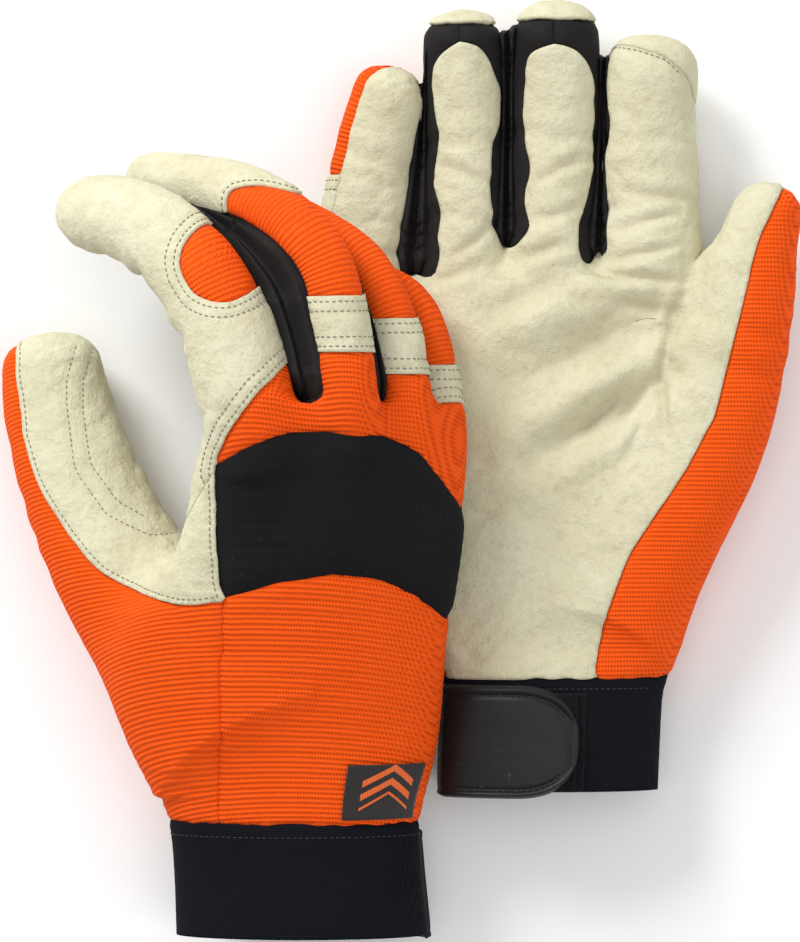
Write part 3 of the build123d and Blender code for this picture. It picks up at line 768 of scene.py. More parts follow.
THREAD = {
    "leather": thread_material("grey_thread", (0.16, 0.17, 0.135), (0.25, 0.26, 0.21)),
    "dark": thread_material("dark_thread", (0.012, 0.012, 0.013), (0.035, 0.035, 0.037)),
}
SLOT = {part["node"]: part["material_slot"] for part in frame["record"]["subparts"]}


def link(name, data):
    made = bpy.data.objects.new(name, data)
    bpy.context.scene.collection.objects.link(made)
    return made


# ---- pieces -------------------------------------------------------------------------------------------
def new_piece(name, points, faces, slot, body, attributes=None, uv=None, material=None):
    mesh = bpy.data.meshes.new(name)
    points = np.array(points)
    points[:, 2] = np.maximum(points[:, 2], FLOOR_CLEARANCE)
    mesh.from_pydata((points * MM).tolist(), [], [list(map(int, f)) for f in faces])
    mesh.shade_smooth()
    for key, values in (attributes or {}).items():
        layer = mesh.attributes.new(key, "FLOAT", "POINT")
        layer.data.foreach_set("value", np.asarray(values, np.float32))
    if uv is not None:
        layer = mesh.uv_layers.new(name="cloth")
        corner = np.empty(len(mesh.loops), np.int32)
        mesh.loops.foreach_get("vertex_index", corner)
        layer.data.foreach_set("uv", np.asarray(uv, np.float32)[corner].ravel())
    mesh.materials.append(material or MATERIALS[slot])
    piece = link(name, mesh)
    if body:
        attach(piece, body)
    return piece


def closed_sheet(points, faces, outward, outer, thickness):
    """Front, back and edge faces of a sheet: outer is the height of its face, and thickness its depth."""
    count = len(points)
    front = points + outward * outer[:, None]
    rear = front - outward * thickness
    sides = sides_of(faces)
    _, first, counts = np.unique(np.sort(sides, axis=1), axis=0, return_index=True, return_counts=True)
    border = sides[first[counts == 1]]
    rim = np.stack([border[:, 1], border[:, 0], border[:, 0] + count, border[:, 1] + count], axis=1)
    all_faces = np.concatenate([faces, faces[:, ::-1] + count, rim])
    return np.concatenate([front, rear]), all_faces


SHEETS = {   # edge height, middle height, distance over which it rises, thickness
    "leather": (0.15, 0.45, 1.6, 1.5),
    "orange_cloth": (-0.55, 0.25, 1.6, 1.1),
    "neoprene": (-0.45, 1.1, 3.0, 2.0),
    "gusset_cloth": (-0.9, -0.1, 2.0, 1.0),
    "cuff_elastic": (-0.5, 0.1, 1.2, 1.8),
}
RAISED = ("knuckle_strip", "_cap", "index_leather", "thumb_leather")
STITCH_PITCH, STITCH_LENGTH, STITCH_RADIUS = 1.9, 1.35, 0.18


def contour(points, faces, value, level):
    """Chains of points where a value over the mesh equals a level."""
    triangles = np.concatenate([faces[:, [0, 1, 2]], faces[:, [0, 2, 3]]])
    above = value[triangles] > level
    mixed = np.nonzero((above.sum(1) > 0) & (above.sum(1) < 3))[0]
    links = defaultdict(list)
    place = {}
    for row in mixed:
        ends = []
        tri = triangles[row]
        for i in range(3):
            a, b = int(tri[i]), int(tri[(i + 1) % 3])
            if (value[a] > level) != (value[b] > level):
                key = (min(a, b), max(a, b))
                t = (level - value[key[0]]) / (value[key[1]] - value[key[0]])
                place[key] = points[key[0]] * (1 - t) + points[key[1]] * t
                ends.append(key)
        if len(ends) == 2:
            links[ends[0]].append(ends[1])
            links[ends[1]].append(ends[0])
    chains, seen = [], set()
    starts = sorted(k for k in links if len(links[k]) == 1) + sorted(links)
    for start in starts:
        if start in seen:
            continue
        chain, spot = [], start
        while spot is not None and spot not in seen:
            seen.add(spot)
            chain.append(place[spot])
            spot = next((k for k in links[spot] if k not in seen), None)
        if len(chain) > 6:
            chains.append(np.array(chain))
    return chains


def stitch_rows(chains, tree, normals, lift):
    """Stitch centres, directions and outward normals at an even pitch along chains."""
    rows = []
    for chain in chains:
        for _ in range(3):
            chain[1:-1] = (chain[:-2] + 2 * chain[1:-1] + chain[2:]) / 4
        steps = np.linalg.norm(np.diff(chain, axis=0), axis=1)
        run = np.concatenate([[0], np.cumsum(steps)])
        for at in np.arange(STITCH_PITCH / 2, run[-1] - STITCH_PITCH / 2, STITCH_PITCH):
            centre = np.array([np.interp(at, run, chain[:, i]) for i in range(3)])
            ahead = np.array([np.interp(at + 0.6, run, chain[:, i]) for i in range(3)])
            behind = np.array([np.interp(at - 0.6, run, chain[:, i]) for i in range(3)])
            way = ahead - behind
            if np.linalg.norm(way) < 0.2:
                continue
            _, index, _ = tree.find(centre)
            out = normals[index]
            rows.append((centre + out * lift, unit(way), out))
    return rows


def stitch_mesh(rows, length=STITCH_LENGTH, radius=STITCH_RADIUS, sides=6):
    """A short thread for each row, whose two ends dip into the sheet."""
    points, faces = [], []
    profile = ((-0.5, 0.35, -1.3), (-0.36, 0.85, -0.3), (-0.12, 1.0, 0.35), (0.12, 1.0, 0.35),
               (0.36, 0.85, -0.3), (0.5, 0.35, -1.3))
    for centre, way, out in rows:
        across = np.cross(way, out)
        base = len(points)
        for at, size, rise in profile:
            ring_centre = centre + way * (at * length) + out * (rise * radius)
            for k in range(sides):
                turn = 2 * pi * k / sides
                points.append(ring_centre + radius * size * (across * cos(turn) + out * sin(turn)))
        for ring in range(len(profile) - 1):
            for k in range(sides):
                a, b = base + ring * sides + k, base + ring * sides + (k + 1) % sides
                faces.append((a, b, b + sides, a + sides))
        faces.append(tuple(base + k for k in reversed(range(sides))))
        faces.append(tuple(base + (len(profile) - 1) * sides + k for k in range(sides)))
    return np.array(points), faces


def sew(name, rows, slot, body, thread):
    points, faces = stitch_mesh(rows)
    new_piece(name, points, faces, slot, body, material=THREAD[thread])


# Seams as they run when seen from above, in mm. Each has a piece on its left and one on its right.
DIAGONAL = ((-56.6, -6), (-55.6, 4), (-52.3, 11), (-44.1, 21.9), (-34.4, 32.8), (-30, 38))
THUMB_SEAM = ((-120.5, 60), (-120.1, 41.7), (-120.3, 31.7), (-117.6, 10.4), (-112.6, -5.3), (-104.1, -18.2),
              (-94.1, -30.4), (-80.5, -37.3), (-67.4, -40.5), (-50, -39.3))
BAND_SIDE = ((-54.6, -45), (-54.8, -39), (-56.4, 1), (-56.6, 8))
MIDDLE_TOP = ((-52.5, 70), (-53.5, 84.5), (-49.6, 86.4), (-44, 87.2), (-38.4, 86.6), (-32.8, 84.8), (-20, 82))
BAND_TOP = ((-70, 1), (-55.2, 1.8), (-45.5, 7.6), (-33.3, 11.8), (-15.2, 13), (-2, 10), (6.1, 6),
            (17.9, -8.9), (24, -20))
BAND_BOTTOM = ((-70, -43), (-54.8, -38.9), (-38.3, -34.2), (-21.4, -31.2), (-6.1, -32.6), (6, -39),
               (13.3, -44.5), (24, -54))
REAR_THUMB_SEAM = ((122, 96), (119.8, 88), (116, 80.3), (112, 72.5), (107, 51.1), (98.8, 17.9), (88.8, -0.3),
                   (72.3, -24.8), (64, -46.4), (60.9, -64.6), (60.5, -80))
WRIST_SEAM = ((-56.5, -115), (-53.7, -39.4), (-53.5, -30))
CROTCH_SEAM = ((-84, -19), (-66.5, -17.9), (-63.3, -12.4), (-57.4, -1.8), (-54, 3))
STRIP_SPANS = {"middle": (36, 53.5), "ring": (30, 47), "little": (15, 33)}
# Edges of the rear finger leathers: (how far up, how far across).
REAR_EDGES = {
    "little_right": ((60, 3.6), (76, 4.1), (90, 4.1), (103, 6.3), (115, 7.5), (125, 5.6)),
    "ring_left": ((60, 13.6), (62, 13.2), (73, 10.8), (82, 12.4), (90, 9.2), (106, 11.4), (118, 8.9),
                  (126, 9.2), (131, 11.6), (135, 19)),
    "ring_right": ((60, 34.5), (70, 33.2), (76, 29.8), (88, 28.8), (99, 28.8), (110, 31.7), (120, 32),
                   (129, 28.4), (133, 25), (135, 19)),
    "middle_left": ((60, 35.4), (70, 36.2), (76, 39.8), (88, 37.6), (93, 41.1), (106, 37.6), (119, 38.2),
                    (130, 38.6), (132.5, 41.5), (134, 48)),
    "middle_right": ((60, 57.6), (66, 56.8), (74, 55.5), (84, 58.9), (91, 60.3), (101, 61.6), (111, 61.4),
                     (122, 61.4), (129, 58.6), (132.5, 55), (134, 48)),
    "index_left": ((60, 59.6), (66, 60.5), (84, 61.6), (95, 62.4), (108, 65.3), (119, 63.8), (132, 64)),
}
FOOT_RADIUS = 4.5
GUSSET_FOOT = {"ring_little": 61.0, "middle_ring": 70.5, "index_middle": 65.5}
CAP_LINE = {"ring": 140.6, "middle": 142.0}
INDEX_TIP_SEAM = ((60, 135), (66.1, 134.2), (74.6, 132.7), (83.1, 129.9), (89.7, 124.2), (93, 116), (98, 108))
# Seams that only show as a line of stitches over one piece of leather: (line, rows, where it lies).
SEWN_LINES = {
    "front": [((-102, 38.9), (-104.5, 28), (-104.1, 18.8), (-101.3, 0.3), (-91.3, -13.8), (-78.1, -20.3),
               (-69, -19.6)),
              ((-97.5, 37.5), (-99.7, 28), (-99.4, 18.8), (-96.6, 2), (-88, -9.6), (-79, -15)),
              ],
    "rear": [((67.5, 133), (74.6, 131.5), (83, 128.6), (88.6, 123.4))],
}


def to_segment(points, x0, y0, x1, y1):
    """Seen from above: each point's share of the way along a segment, its distance, and its side."""
    run = np.array([x1 - x0, y1 - y0], float)
    dx, dy = points[:, 0] - x0, points[:, 1] - y0
    t = np.clip((dx * run[0] + dy * run[1]) / (run @ run), 0, 1)
    return t, np.hypot(dx - t * run[0], dy - t * run[1]), run[0] * dy - run[1] * dx


def side_of(points, line):
    """Signed distance from a line seen from above: positive on its left."""
    best = np.full(len(points), 1e9)
    sign = np.ones(len(points))
    for (x0, y0), (x1, y1) in zip(line, line[1:]):
        _, gap, left = to_segment(points, x0, y0, x1, y1)
        closer = gap < best - 1e-9
        best = np.where(closer, gap, best)
        sign = np.where(closer, np.sign(left), sign)
    return best * sign


def relabel(names, labels, points, normals, glove):
    """Moves the seams from the CAD's plain lines to the sewn ones."""
    number = {name[len(glove) + 1:]: i for i, name in enumerate(names)}
    labels = labels.copy()

    def among(*parts):
        return np.isin(labels, [number[part] for part in parts])

    def give(part, where):
        labels[where] = number[part]

    x, y, z = points.T
    facing = normals[:, 2]
    if glove == "front":
        up = facing > -0.1
        outer = side_of(points, THUMB_SEAM)
        beyond = side_of(points, BAND_SIDE) > 0
        side = (y > -45) & (y < 2) & beyond & up
        give("thumb_leather", among("thumb_panel", "lower_back") & (outer > 0) & up & (x < -54))
        give("thumb_panel", among("thumb_leather", "palm_leather") & (outer < 0) & (x < -54) & up)
        give("thumb_leather", among("knuckle_band") & beyond & (y < -4))
        give("index_leather", among("knuckle_band") & beyond & (y >= -4))
        give("thumb_leather", among("palm_leather") & side & (z > 20) & (y < -4) & (x > -76))
        give("index_leather", among("palm_leather") & (facing > 0.15) & (y > -6) & (y < 30) & (x < -40))
        crotch = among("thumb_leather", "index_leather", "palm_leather") & beyond & up & (x > -70) & (z > 25)
        higher = side_of(points, CROTCH_SEAM) > 0
        give("index_leather", crotch & (y > -24) & higher)
        give("thumb_leather", crotch & (y > -45) & ~higher)
        shell = among("index_leather", "palm_leather") & (x < -44) & (y > 8) & (facing > -0.45)
        give("index_leather", shell & (z > 30))
        left = side_of(points, DIAGONAL) > 0
        give("index_leather", among("upper_back") & left & (y > -6) & up)
        give("upper_back", among("index_leather") & ~left & (y < 36) & up)
        band = among("knuckle_band", "upper_back", "lower_back") & up & ~beyond
        over, under = side_of(points, BAND_TOP) > 0, side_of(points, BAND_BOTTOM) < 0
        give("upper_back", band & over & ~left)
        give("lower_back", band & under & (x > -54.5))
        give("knuckle_band", band & ~over & ~under)
        for digit, (low, high) in STRIP_SPANS.items():
            strip, back = number[f"{digit}_knuckle_strip"], number[f"{digit}_back"]
            mine = (labels == strip) | (labels == back)
            give("upper_back", mine & (y < low))
            labels[mine & (y >= low) & (y <= high) & (z > 38)] = strip
            labels[mine & (y > high)] = back
        wrist_side = among("thumb_panel", "lower_back") & up & (y < -36) & (x > -75) & (x < -35)
        outside = side_of(points, WRIST_SEAM) > 0
        give("thumb_panel", wrist_side & outside)
        give("lower_back", wrist_side & ~outside)
        give("middle_cap", among("middle_back") & (side_of(points, MIDDLE_TOP) > 0) & (x < -20))
        give("middle_back", among("middle_cap") & (side_of(points, MIDDLE_TOP) < 0) & (x > -56))
        return labels

    up = facing > -0.35
    palm = among("palm_leather", *GUSSETS) & up
    edge = {key: np.interp(y, *np.array(line).T) for key, line in REAR_EDGES.items()}
    fingers = palm & (y > 60)
    give("palm_leather", fingers & (facing > 0.4))
    for near, far in NEIGHBOURS:
        pair = f"{near}_{far}"
        foot = GUSSET_FOOT[pair]
        aside = x - (edge[f"{near}_left"] + edge[f"{far}_right"]) / 2
        rounding = FOOT_RADIUS - np.sqrt(np.maximum(20 - aside ** 2, 0))
        between = (x > edge[f"{far}_right"] - 0.4) & (x < edge[f"{near}_left"] + 1.0) & (y > foot + rounding)
        give(f"{pair}_gusset", fingers & between)
        around = (x > edge[f"{far}_right"] - 3) & (x < edge[f"{near}_left"] + 3)
        give("palm_leather", fingers & around & (y < foot + rounding))
    for digit, middle, sides in (("ring", 19.6, ("middle_ring", "ring_little")),
                                 ("middle", 48.8, ("index_middle", "middle_ring"))):
        near_side, far_side = (number[f"{pair}_gusset"] for pair in sides)
        tip = (np.abs(x - middle) < 15.5) & (y > REAR_EDGES[f"{digit}_left"][-1][0])
        tip &= among("palm_leather", *GUSSETS, f"{digit}_cap", f"{digit}_back")
        low = z < 14
        cap = tip & ((y > CAP_LINE[digit]) | low)
        labels[tip & ~cap & (x >= middle)] = near_side
        labels[tip & ~cap & (x < middle)] = far_side
        give(f"{digit}_cap", cap)
    index_tip = (side_of(points, INDEX_TIP_SEAM) > 0) & (x > 62) & (y > 105)
    give("index_leather", among("palm_leather") & index_tip)
    top = (facing > 0) & (y > -67) & (x > 40)
    orange = side_of(points, REAR_THUMB_SEAM) > 0
    give("thumb_panel", among("thumb_leather", "palm_leather") & top & orange & (x > 58))
    give("palm_leather", among("thumb_panel") & top & ~orange)
    give("palm_leather", among("thumb_leather") & (facing > -0.3))
    return labels


def length_past(tube, y):
    """The length at which a tube's middle line first passes a distance up the glove."""
    return float(tube["along"][np.argmax(tube["centre"][:, 1] > y)])


def tube_point(tube, at, angle, proud=0.0):
    k = row_at(tube, at)
    turn = radians(angle)
    return (tube["centre"][k] + tube["side"][k] * (tube["wide"][k] + proud) * cos(turn)
            + tube["normal"][k] * (tube["high"][k] + proud) * sin(turn))


def build_webs(glove, tubes, trunk_end):
    """The stretch cloth folded between each two fingers, with a groove down its middle."""
    body = f"{glove}_glove"
    for near, far in NEIGHBOURS:
        a, b = tubes[near], tubes[far]
        foot = GUSSET_FOOT[f"{near}_{far}"] - 1.5 if glove == "rear" else trunk_end - 2
        a_start, b_start = length_past(a, foot), length_past(b, foot)
        a_end, b_end = a["length"] - 9, b["length"] - 9
        rows, columns = 70, 17
        outer = np.empty((rows, columns, 3))
        inner = np.empty((rows, columns, 3))
        u = np.linspace(0, 1, columns)
        lips = 1.9 * (bell(u - 0.24, 0.14) + bell(u - 0.76, 0.14))
        groove = -2.6 * bell(u - 0.5, 0.13)
        for i, t in enumerate(np.linspace(0, 1, rows)):
            at_a = a_start + t * (a_end - a_start)
            spot = a["centre"][row_at(a, at_a)]
            usable = (b["along"] >= b_start) & (b["along"] <= b_end)
            nearest = b["along"][usable][((b["centre"][usable] - spot) ** 2).sum(1).argmin()]
            at_b = 0.8 * nearest + 0.2 * (b_start + t * (b_end - b_start))
            open_angle = (34 - 22 * t) * min(1.0, 0.35 + 9 * t)
            sunk = 2.5 * max(0.0, 1 - 16 * t) ** 2
            faces_of = []
            for sign in (1, -1):
                p = tube_point(a, at_a, 180 - sign * open_angle, -0.7)
                q = tube_point(b, at_b, sign * open_angle, -0.7)
                line = p + (q - p) * u[:, None]
                out = sign * unit(a["normal"][row_at(a, at_a)])
                wave = 0.25 * sin(18 * t + 3 * sign)
                faces_of.append(line + out * (lips * (1 + wave) + groove - sunk)[:, None])
            outer[i], inner[i] = faces_of
        points, faces = slab(inner, outer)
        if glove == "rear":
            points[:, 2] = np.maximum(points[:, 2], 0.4)
        # the webs carry no painted crease shade
        new_piece(f"{glove}_{near}_{far}_web", points, faces, "gusset_cloth", body,
                  {"fold_shade": np.zeros(len(points))})


def cut_skin(glove, tubes, wrist, trunk_end):
    """A glove's bare skin, and the panel that each point and each face belongs to."""
    field = Field(tubes, THUMB_WEB[glove], ROOT_WEB[glove])
    points, faces = field.surface()
    points, faces, rim = cut_wrist(points, faces, wrist)
    edges = edges_of(faces)
    points = relax(points, edges, np.isin(np.arange(len(points)), rim), field, 2)
    normals = normals_of(points, faces)
    names, labels = nearest_nodes(points, glove)
    labels[points[:, 1] < wrist + CUFF_HEIGHT] = names.index(f"{glove}_cuff")
    labels = relabel(names, labels, points, normals, glove)
    for rounds in (5, 3):
        labels = vote(labels, edges, len(names), rounds)
        labels = drop_islands(labels, edges, SMALLEST_PATCH)
    corner = labels[faces]
    face_labels = np.where(corner[:, 1] == corner[:, 2], corner[:, 1], corner[:, 0])
    face_labels = np.where((corner[:, 3] == corner[:, 0]), corner[:, 3], face_labels)
    points = smooth_seams(points, faces, face_labels, rim, field)
    if glove == "rear":
        top = normals_of(points, faces)[:, 2] > 0.1
        leather = (labels == names.index("rear_palm_leather")) & top
        share = soften(leather.astype(float), edges, 3) * bell(points[:, 1] - trunk_end, ROOT_REACH)
        points[:, 2] += share * (soften(points[:, 2], edges, 90) - points[:, 2])
    return points, faces, edges, names, labels, face_labels


def folds_of(glove, tubes, points, normals, palm_side, leathery):
    """How far folds push each point of the skin out, how much painted shade lies in them, and the cloth's
    coordinates.
    """
    fold_shade = np.zeros(len(points))
    push = np.zeros(len(points))
    cloth_uv = {}
    for digit, tube in tubes.items():
        value, along, angle = tube_coordinates(tube, points)
        run = along
        around = np.radians((angle - 90 + 180) % 360 - 180) * 12
        if digit in ("trunk", "thumb"):
            run = points[:, 1] - RIB_LEAN[glove] * points[:, 2]
            around = points[:, 0] + 0.6 * points[:, 2]
        cloth_uv[digit] = np.stack([around, run], axis=1) * MM
        inner = np.clip(-np.sin(np.radians(angle)) * 1.5 + 0.5, 0, 1)
        near = np.exp(-np.clip(value, 0, 20) ** 2 / 6) * inner
        for at, depth, half in CREASES[glove].get(digit, ()):
            slant = along - at + 1.2 * np.sin(np.radians(angle) * 2 + at)
            push -= depth * bell(slant, half) * near
            # painted shade along the bottom of the crease
            fold_shade += 0.2 * min(depth, 1.5) * bell(slant, 0.5 * half) * near
            push += 0.35 * depth * bell(slant - 2.2 * half, half) * near
    for (x0, y0), (x1, y1), depth, half in PALM_FOLDS[glove]:
        t, gap, _ = to_segment(points, x0, y0, x1, y1)
        gap += rolling(points, 9, 3) * 0.35 * half
        taper = np.sin(pi * np.clip(t, 0.06, 0.94)) ** 0.5
        push -= 1.25 * depth * bell(gap, half) * taper * palm_side
        push += 0.4 * depth * bell(gap - 2.0 * half, 0.9 * half) * taper * palm_side
        # painted shade along the bottom of the fold
        fold_shade += min(0.34, 0.2 * depth) * bell(gap, 0.8 * half) * taper * palm_side
    rough_skin = (0.55 * rolling(points, 13, 1) + 0.3 * rolling(points, 5.5, 2)
                  + 0.12 * rolling(points, 2.6, 4))
    across = rolling(points * (0.55, 1.25, 0.8), 7.5, 5)
    crinkle = np.clip(1 - np.abs(across) / 0.13, 0, 1) * np.clip(rolling(points, 16, 6) * 2.4 + 0.35, 0, 1)
    push += np.where(leathery, rough_skin - 0.55 * crinkle, 0.35 * rough_skin)
    # painted shade in the leather's crinkles
    fold_shade += np.where(leathery, 0.10 * crinkle, 0)
    for line in SEWN_LINES[glove]:
        gap = np.abs(side_of(points, line))
        top = normals[:, 2] > 0.1
        push -= 0.4 * bell(gap, 0.9) * top
        # painted shade in the groove pressed in along the sewn line
        fold_shade += 0.12 * bell(gap, 0.8) * top
    return push, np.clip(fold_shade, 0, 0.6), cloth_uv


def build_panels(glove, points, faces, normals, back, names, face_labels, fold_shade, cloth_uv, all_tree):
    """A closed sheet for each panel. Returns the sheets and the stitches along their edges."""
    pieces = {}
    stitches = []
    vertex_faces = np.zeros((len(points), len(names)), bool)
    for i in range(4):
        vertex_faces[faces[:, i], face_labels] = True
    for number, name in enumerate(names):
        mine = faces[face_labels == number]
        if not len(mine):
            print("no skin for", name)
            continue
        used = np.unique(mine)
        border = used[vertex_faces[used].sum(1) > 1]
        slot = SLOT[name]
        edge_height, middle_height, rise, thickness = SHEETS[slot]
        gap = distance_to(points[used], points[border])
        height = middle_height + (edge_height - middle_height) * np.exp(-(gap / rise) ** 1.5)
        if name.endswith(RAISED):
            height += 0.25
        part = name[len(glove) + 1:]
        value = np.full(len(points), FAR)
        if slot == "leather" and part != "palm_leather":
            cloth = [i for i, other in enumerate(names) if SLOT[other] in ("orange_cloth", "neoprene")]
            shared = border[vertex_faces[border][:, cloth].any(1)]
            if part == "thumb_leather":
                shared = shared[normals[shared] @ back > 0.0]
            value[used] = distance_to(points[used], points[shared])
            levels = (1.7,) if part.endswith(("thumb_leather", "_cap")) else (1.7, 4.6)
            raised = height.max() - 0.12
            for level in levels:
                chains = contour(points, mine, value, level)
                height -= 0.3 * bell(value[used] - level, 0.8)
                sink = (middle_height - edge_height) * np.exp(-(level / rise) ** 1.5)
                stitches += stitch_rows(chains, all_tree, normals, raised - sink)
        sheet_points, sheet_faces = closed_sheet(*drop_unused(points, mine), normals[used], height, thickness)
        count = len(used)
        # painted crease shade on the front face of the sheet, none on its back
        attributes = {"fold_shade": np.concatenate([fold_shade[used], np.zeros(count)])}
        owner = next((digit for digit in DIGITS if part.startswith(digit)), "trunk")
        uv = cloth_uv["trunk" if "gusset" in part else owner][used]
        piece = new_piece(f"{name}_skin", sheet_points, sheet_faces, slot, f"{glove}_glove", attributes,
                          np.concatenate([uv, uv]))
        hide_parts(name)
        pieces[part] = piece
    return pieces, stitches


def sewn_lines(glove, points, faces, normals, all_tree):
    """Stitches along the seams within a panel, dropped onto the skin from above."""
    rows = []
    skin = BVHTree.FromPolygons([Vector(p) for p in points], faces.tolist())
    for line in SEWN_LINES[glove]:
        chain = []
        for (x0, y0), (x1, y1) in zip(line, line[1:]):
            for t in np.linspace(0, 1, 12)[:-1]:
                above = Vector((x0 + t * (x1 - x0), y0 + t * (y1 - y0), ABOVE_GLOVES))
                hit = skin.ray_cast(above, Vector((0, 0, -1)))[0]
                if hit is not None:
                    chain.append(hit)
        rows += stitch_rows([np.array(chain)], all_tree, normals, 0.74 if glove == "front" else 0.5)
    return rows


def build_glove(glove, pose):
    tubes = {"trunk": make_tube(pose["back"], pose["trunk"], upright=True)}
    for digit in DIGITS:
        tubes[digit] = make_tube(pose["back"], pose[digit], dome=DOMES[digit])
    wrist, trunk_end = pose["trunk"][0].y + CUFF_RISE, pose["trunk"][-1].y
    points, faces, edges, names, labels, face_labels = cut_skin(glove, tubes, wrist, trunk_end)
    normals = normals_of(points, faces)
    back = np.array(pose["back"], float)
    palm_side = np.clip(-(normals @ back) * 1.6 + 0.3, 0, 1)
    leathery = np.array([SLOT[name] == "leather" for name in names])[labels]
    push, fold_shade, cloth_uv = folds_of(glove, tubes, points, normals, palm_side, leathery)

    # the folds fade towards the cuff and in hollows, where they would cross each other
    calm = np.clip((points[:, 1] - wrist - CUFF_HEIGHT) / 6, 0, 1)
    hollow = np.maximum(soften(hollowness(points, edges, normals), edges, 5), 0)
    calm *= bell(hollow, 0.07)
    points = points + normals * soften(push * calm, edges, 2)[:, None]
    if glove == "rear":
        points[:, 2] = np.maximum(points[:, 2], 0.35)
    normals = normals_of(points, faces)

    all_tree = nearest_of(points)
    pieces, stitches = build_panels(glove, points, faces, normals, back, names, face_labels, fold_shade, cloth_uv,
                                    all_tree)
    stitches += sewn_lines(glove, points, faces, normals, all_tree)
    sew(f"{glove}_stitching", stitches, "leather", f"{glove}_glove", "leather")
    build_webs(glove, tubes, trunk_end)
    build_strap(glove, tubes["trunk"])
    build_cuff_stitches(glove, tubes["trunk"])
    build_label(glove, tubes["trunk"])


# ---- cuff fittings ------------------------------------------------------------------------------------
STRAP_WIDTH, STRAP_GAP, STRAP_WALL = 34.5, 1.9, 2.2
STRAP_ROOT, STRAP_HINGE, STRAP_TIP = 192.0, 225.0, 283.0    # degrees round the cuff
STRAP_TIP_ROUND = 19.5     # length over which the tip rounds off
BEND_SPREAD = 9            # degrees on each side of the hinge, where the strap would bend; the two points found there are not used
CUFF_RADIUS = 36.0         # turns degrees round the cuff into lengths
BINDING_WIDTH = 3.4


def wall_grid(trunk, angles, lengths, proud):
    """Points over the trunk at every angle and length, standing proud by a number or an array."""
    rings = [spline_ring(trunk, at) for at in lengths]
    k = [row_at(trunk, at) for at in lengths]
    out = np.empty((len(angles), len(lengths), 3))
    proud = np.broadcast_to(proud, (len(angles), len(lengths)))
    for i, angle in enumerate(np.radians(angles)):
        for j, ring in enumerate(rings):
            side, normal = trunk["side"][k[j]], trunk["normal"][k[j]]
            out[i, j] = (ring[:3] + side * (ring[3] + proud[i, j]) * cos(angle)
                         + normal * (ring[4] + proud[i, j]) * sin(angle))
    return out


def slab(inner, outer):
    """A closed mesh between two grids of points."""
    rows, columns = inner.shape[:2]
    count = rows * columns
    index = np.arange(count).reshape(rows, columns)
    quads = np.stack([index[:-1, :-1], index[1:, :-1], index[1:, 1:], index[:-1, 1:]], axis=-1).reshape(-1, 4)
    faces = [quads + count, quads[:, ::-1]]
    loop = np.concatenate([index[:-1, 0], index[-1, :-1], index[:0:-1, -1], index[0, :0:-1]])
    following = np.roll(loop, -1)
    faces.append(np.stack([loop, following, following + count, loop + count], axis=1))
    return np.concatenate([inner.reshape(-1, 3), outer.reshape(-1, 3)]), np.concatenate(faces)


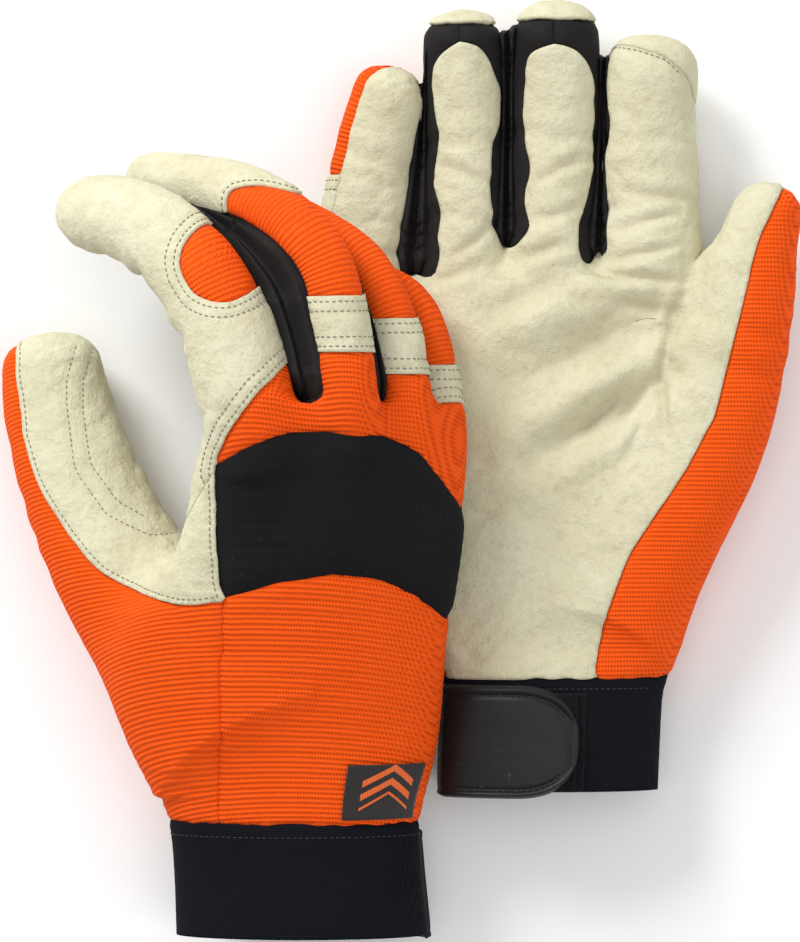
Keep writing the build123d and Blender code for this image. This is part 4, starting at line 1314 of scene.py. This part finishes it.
def build_strap(glove, trunk):
    middle = CUFF_HEIGHT / 2 + 0.6
    start = middle - STRAP_WIDTH / 2
    glove_body, strap_body = f"{glove}_glove", f"{glove}_strap"
    rows, columns = 58, 64
    angles = np.linspace(STRAP_ROOT, STRAP_TIP, rows)

    def half_at(angle):
        """Half of the strap's width, which rounds off at the tip."""
        left = radians(STRAP_TIP - angle) * CUFF_RADIUS
        full = STRAP_WIDTH / 2
        if left >= STRAP_TIP_ROUND:
            return full
        part = max(1 - (1 - left / STRAP_TIP_ROUND) ** 2.2, 0.0)
        return max(full * sqrt(part), 0.6)

    across = np.linspace(-1, 1, columns)
    inner = np.empty((rows, columns, 3))
    outer = np.empty((rows, columns, 3))
    for i, angle in enumerate(angles):
        half = half_at(angle)
        lengths = middle + across * half
        lift = STRAP_GAP * np.clip((angle - STRAP_ROOT) / 14, 0.1, 1)
        left = np.minimum(half * (1 - np.abs(across)), radians(STRAP_TIP - angle) * CUFF_RADIUS)
        loose = np.clip((angle - STRAP_ROOT) / (STRAP_HINGE - STRAP_ROOT), 0.15, 1)
        rim = bell(left - 1.9, 1.5) * 0.95 * loose
        groove = -0.7 * loose * bell(left - BINDING_WIDTH - 0.5, 0.7)
        pad = 0.35 * (1 - np.exp(-np.maximum(left - BINDING_WIDTH, 0) / 3))
        edge = -1.5 * bell(left, 0.8)
        top = lift + STRAP_WALL - 0.3 + rim + groove + pad + edge
        bottom = lift + 0.5 * bell(left, 0.5)
        inner[i] = wall_grid(trunk, [angle], lengths, bottom[None])[0]
        outer[i] = wall_grid(trunk, [angle], lengths, top[None])[0]
    points, faces = slab(inner, outer)
    strap = new_piece(f"{glove}_strap_whole", points, faces, "strap_face", None)
    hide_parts(f"{glove}_strap", f"{glove}_strap_root", f"{glove}_strap_binding")
    before = wall_grid(trunk, [STRAP_HINGE - BEND_SPREAD], [middle], 3.0)[0, 0] * MM
    after = wall_grid(trunk, [STRAP_HINGE + BEND_SPREAD], [middle], 3.0)[0, 0] * MM
    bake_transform(strap)

    # the stitches round the strap, inside its rolled edge
    inset = BINDING_WIDTH + 0.3
    straight = np.linspace(STRAP_HINGE + 2, STRAP_TIP - 9, 26)
    path = [(angle, middle - half_at(angle) + inset) for angle in straight]
    path += [(STRAP_TIP - 6.5, middle - 7), (STRAP_TIP - 5.6, middle), (STRAP_TIP - 6.5, middle + 7)]
    path += [(angle, middle + half_at(angle) - inset) for angle in straight[::-1]]
    line = np.array([wall_grid(trunk, [a], [at], STRAP_GAP + STRAP_WALL - 0.35)[0, 0] for a, at in path])
    outward = np.array([wall_grid(trunk, [a], [at], 9.0)[0, 0] for a, at in path]) - line
    rows = stitch_rows([line], nearest_of(line), unit(outward), 0.05)
    sew(f"{glove}_strap_stitching", rows, "strap_edging", strap_body, "dark")

    for part, first, last, low, high, body in (
            ("loop_patch", 240, 287, 0.05, 0.7, glove_body),
            ("hook_patch", 256, STRAP_TIP - 1, 1.05, STRAP_GAP - 0.05, strap_body)):
        rows, columns = 30, 22
        patch_angles = np.linspace(first, last, rows)
        patch_lengths = np.linspace(start + 3, start + STRAP_WIDTH - 3, columns)
        fuzz = 0.12 * np.sin(np.arange(rows)[:, None] * 12.9 + np.arange(columns)[None] * 78.2)
        under = wall_grid(trunk, patch_angles, patch_lengths, low)
        over = wall_grid(trunk, patch_angles, patch_lengths, high + fuzz)
        points, faces = slab(under, over)
        patch = new_piece(f"{glove}_{part}_pile", points, faces, "hook_and_loop", body)
        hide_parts(f"{glove}_{part}")


def build_cuff_stitches(glove, trunk):
    """The row of thread that joins the cuff to the hand."""
    angles = np.linspace(0, 360, 220)
    row = [CUFF_TOP - 4.5]
    line = wall_grid(trunk, angles, row, 0.3)[:, 0]
    outward = unit(wall_grid(trunk, angles, row, 6.0)[:, 0] - line)
    if glove == "rear":
        off_floor = line[:, 2] > 1.2
        line, outward = line[off_floor], outward[off_floor]
    rows = stitch_rows([line.copy()], nearest_of(line), outward, 0.02)
    sew(f"{glove}_cuff_stitching", rows, "cuff_elastic", f"{glove}_glove", "dark")


def build_label(glove, trunk):
    first, last = {"rear": (118, 157), "front": (112, 156)}[glove]
    rows, columns = 26, 20
    angles = np.linspace(first, last, rows)
    lengths = np.linspace(CUFF_TOP + 0.8, CUFF_TOP + 19, columns)
    u, v = np.meshgrid(np.linspace(0, 1, rows), np.linspace(0, 1, columns), indexing="ij")
    lift = 0.75 + 0.5 * v ** 2 * (1 + 0.4 * np.sin(u * 5))
    inner = wall_grid(trunk, angles, lengths, lift)
    outer = wall_grid(trunk, angles, lengths, lift + 0.55)
    if glove == "rear":
        inner[..., 2] = np.maximum(inner[..., 2], 0.15)
        outer[..., 2] = np.maximum(outer[..., 2], 0.05)
    points, faces = slab(inner, outer)
    flat = np.stack([1 - u.ravel(), v.ravel()], axis=1)
    label = new_piece(f"{glove}_label_tape", points, faces, "label_cloth", f"{glove}_glove",
                      uv=np.concatenate([flat, flat]))
    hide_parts(f"{glove}_label")


build_glove("rear", REAR)
build_glove("front", FRONT)


# ---- floor, light and camera --------------------------------------------------------------------------
def build_stage():
    mesh = bpy.data.meshes.new("floor")
    half = 6.0
    corners = [(x * half, y * half, 0) for x, y in ((-1, -1), (1, -1), (1, 1), (-1, 1))]
    mesh.from_pydata(corners, [], [(0, 1, 2, 3)])
    floor = link("floor", mesh)
    floor.location.z = -0.0004
    n = Nodes("pale_floor")
    colour = n.mix(n.noise(400, 2), (0.93, 0.93, 0.93), (0.95, 0.95, 0.95))
    n.finish(colour, 0.9, n.bump(n.noise(3, 2), 0.02, 0.1))
    mesh.materials.append(n.material)


def area_light(name, place, size, power):
    data = bpy.data.lights.new(name, "AREA")
    data.size = size
    data.energy = power
    light = link(name, data)
    light.location = place
    light.rotation_euler = (-Vector(place)).to_track_quat("-Z", "Y").to_euler()


def build_lights():
    area_light("key_light", place=(-1.1, 1.4, 1.1), size=0.8, power=36)
    area_light("fill_light", place=(1.3, -0.5, 1.3), size=1.4, power=7)
    area_light("top_light", place=(0.1, 0.2, 2.2), size=1.8, power=10)
    world = bpy.data.worlds.new("studio")
    world.use_nodes = True
    background = world.node_tree.nodes["Background"]
    background.inputs["Color"].default_value = (1, 1, 1, 1)
    background.inputs["Strength"].default_value = 0.52
    bpy.context.scene.world = world
    bpy.context.scene.view_settings.view_transform = "Standard"


def build_camera():
    data = bpy.data.cameras.new("camera")
    data.sensor_width = 36.0
    data.lens = 179.7
    data.clip_end = 20.0
    camera = link("camera", data)
    camera.location = (0.0, 0.0, 1.5)
    bpy.context.scene.camera = camera


build_stage()
build_lights()
build_camera()
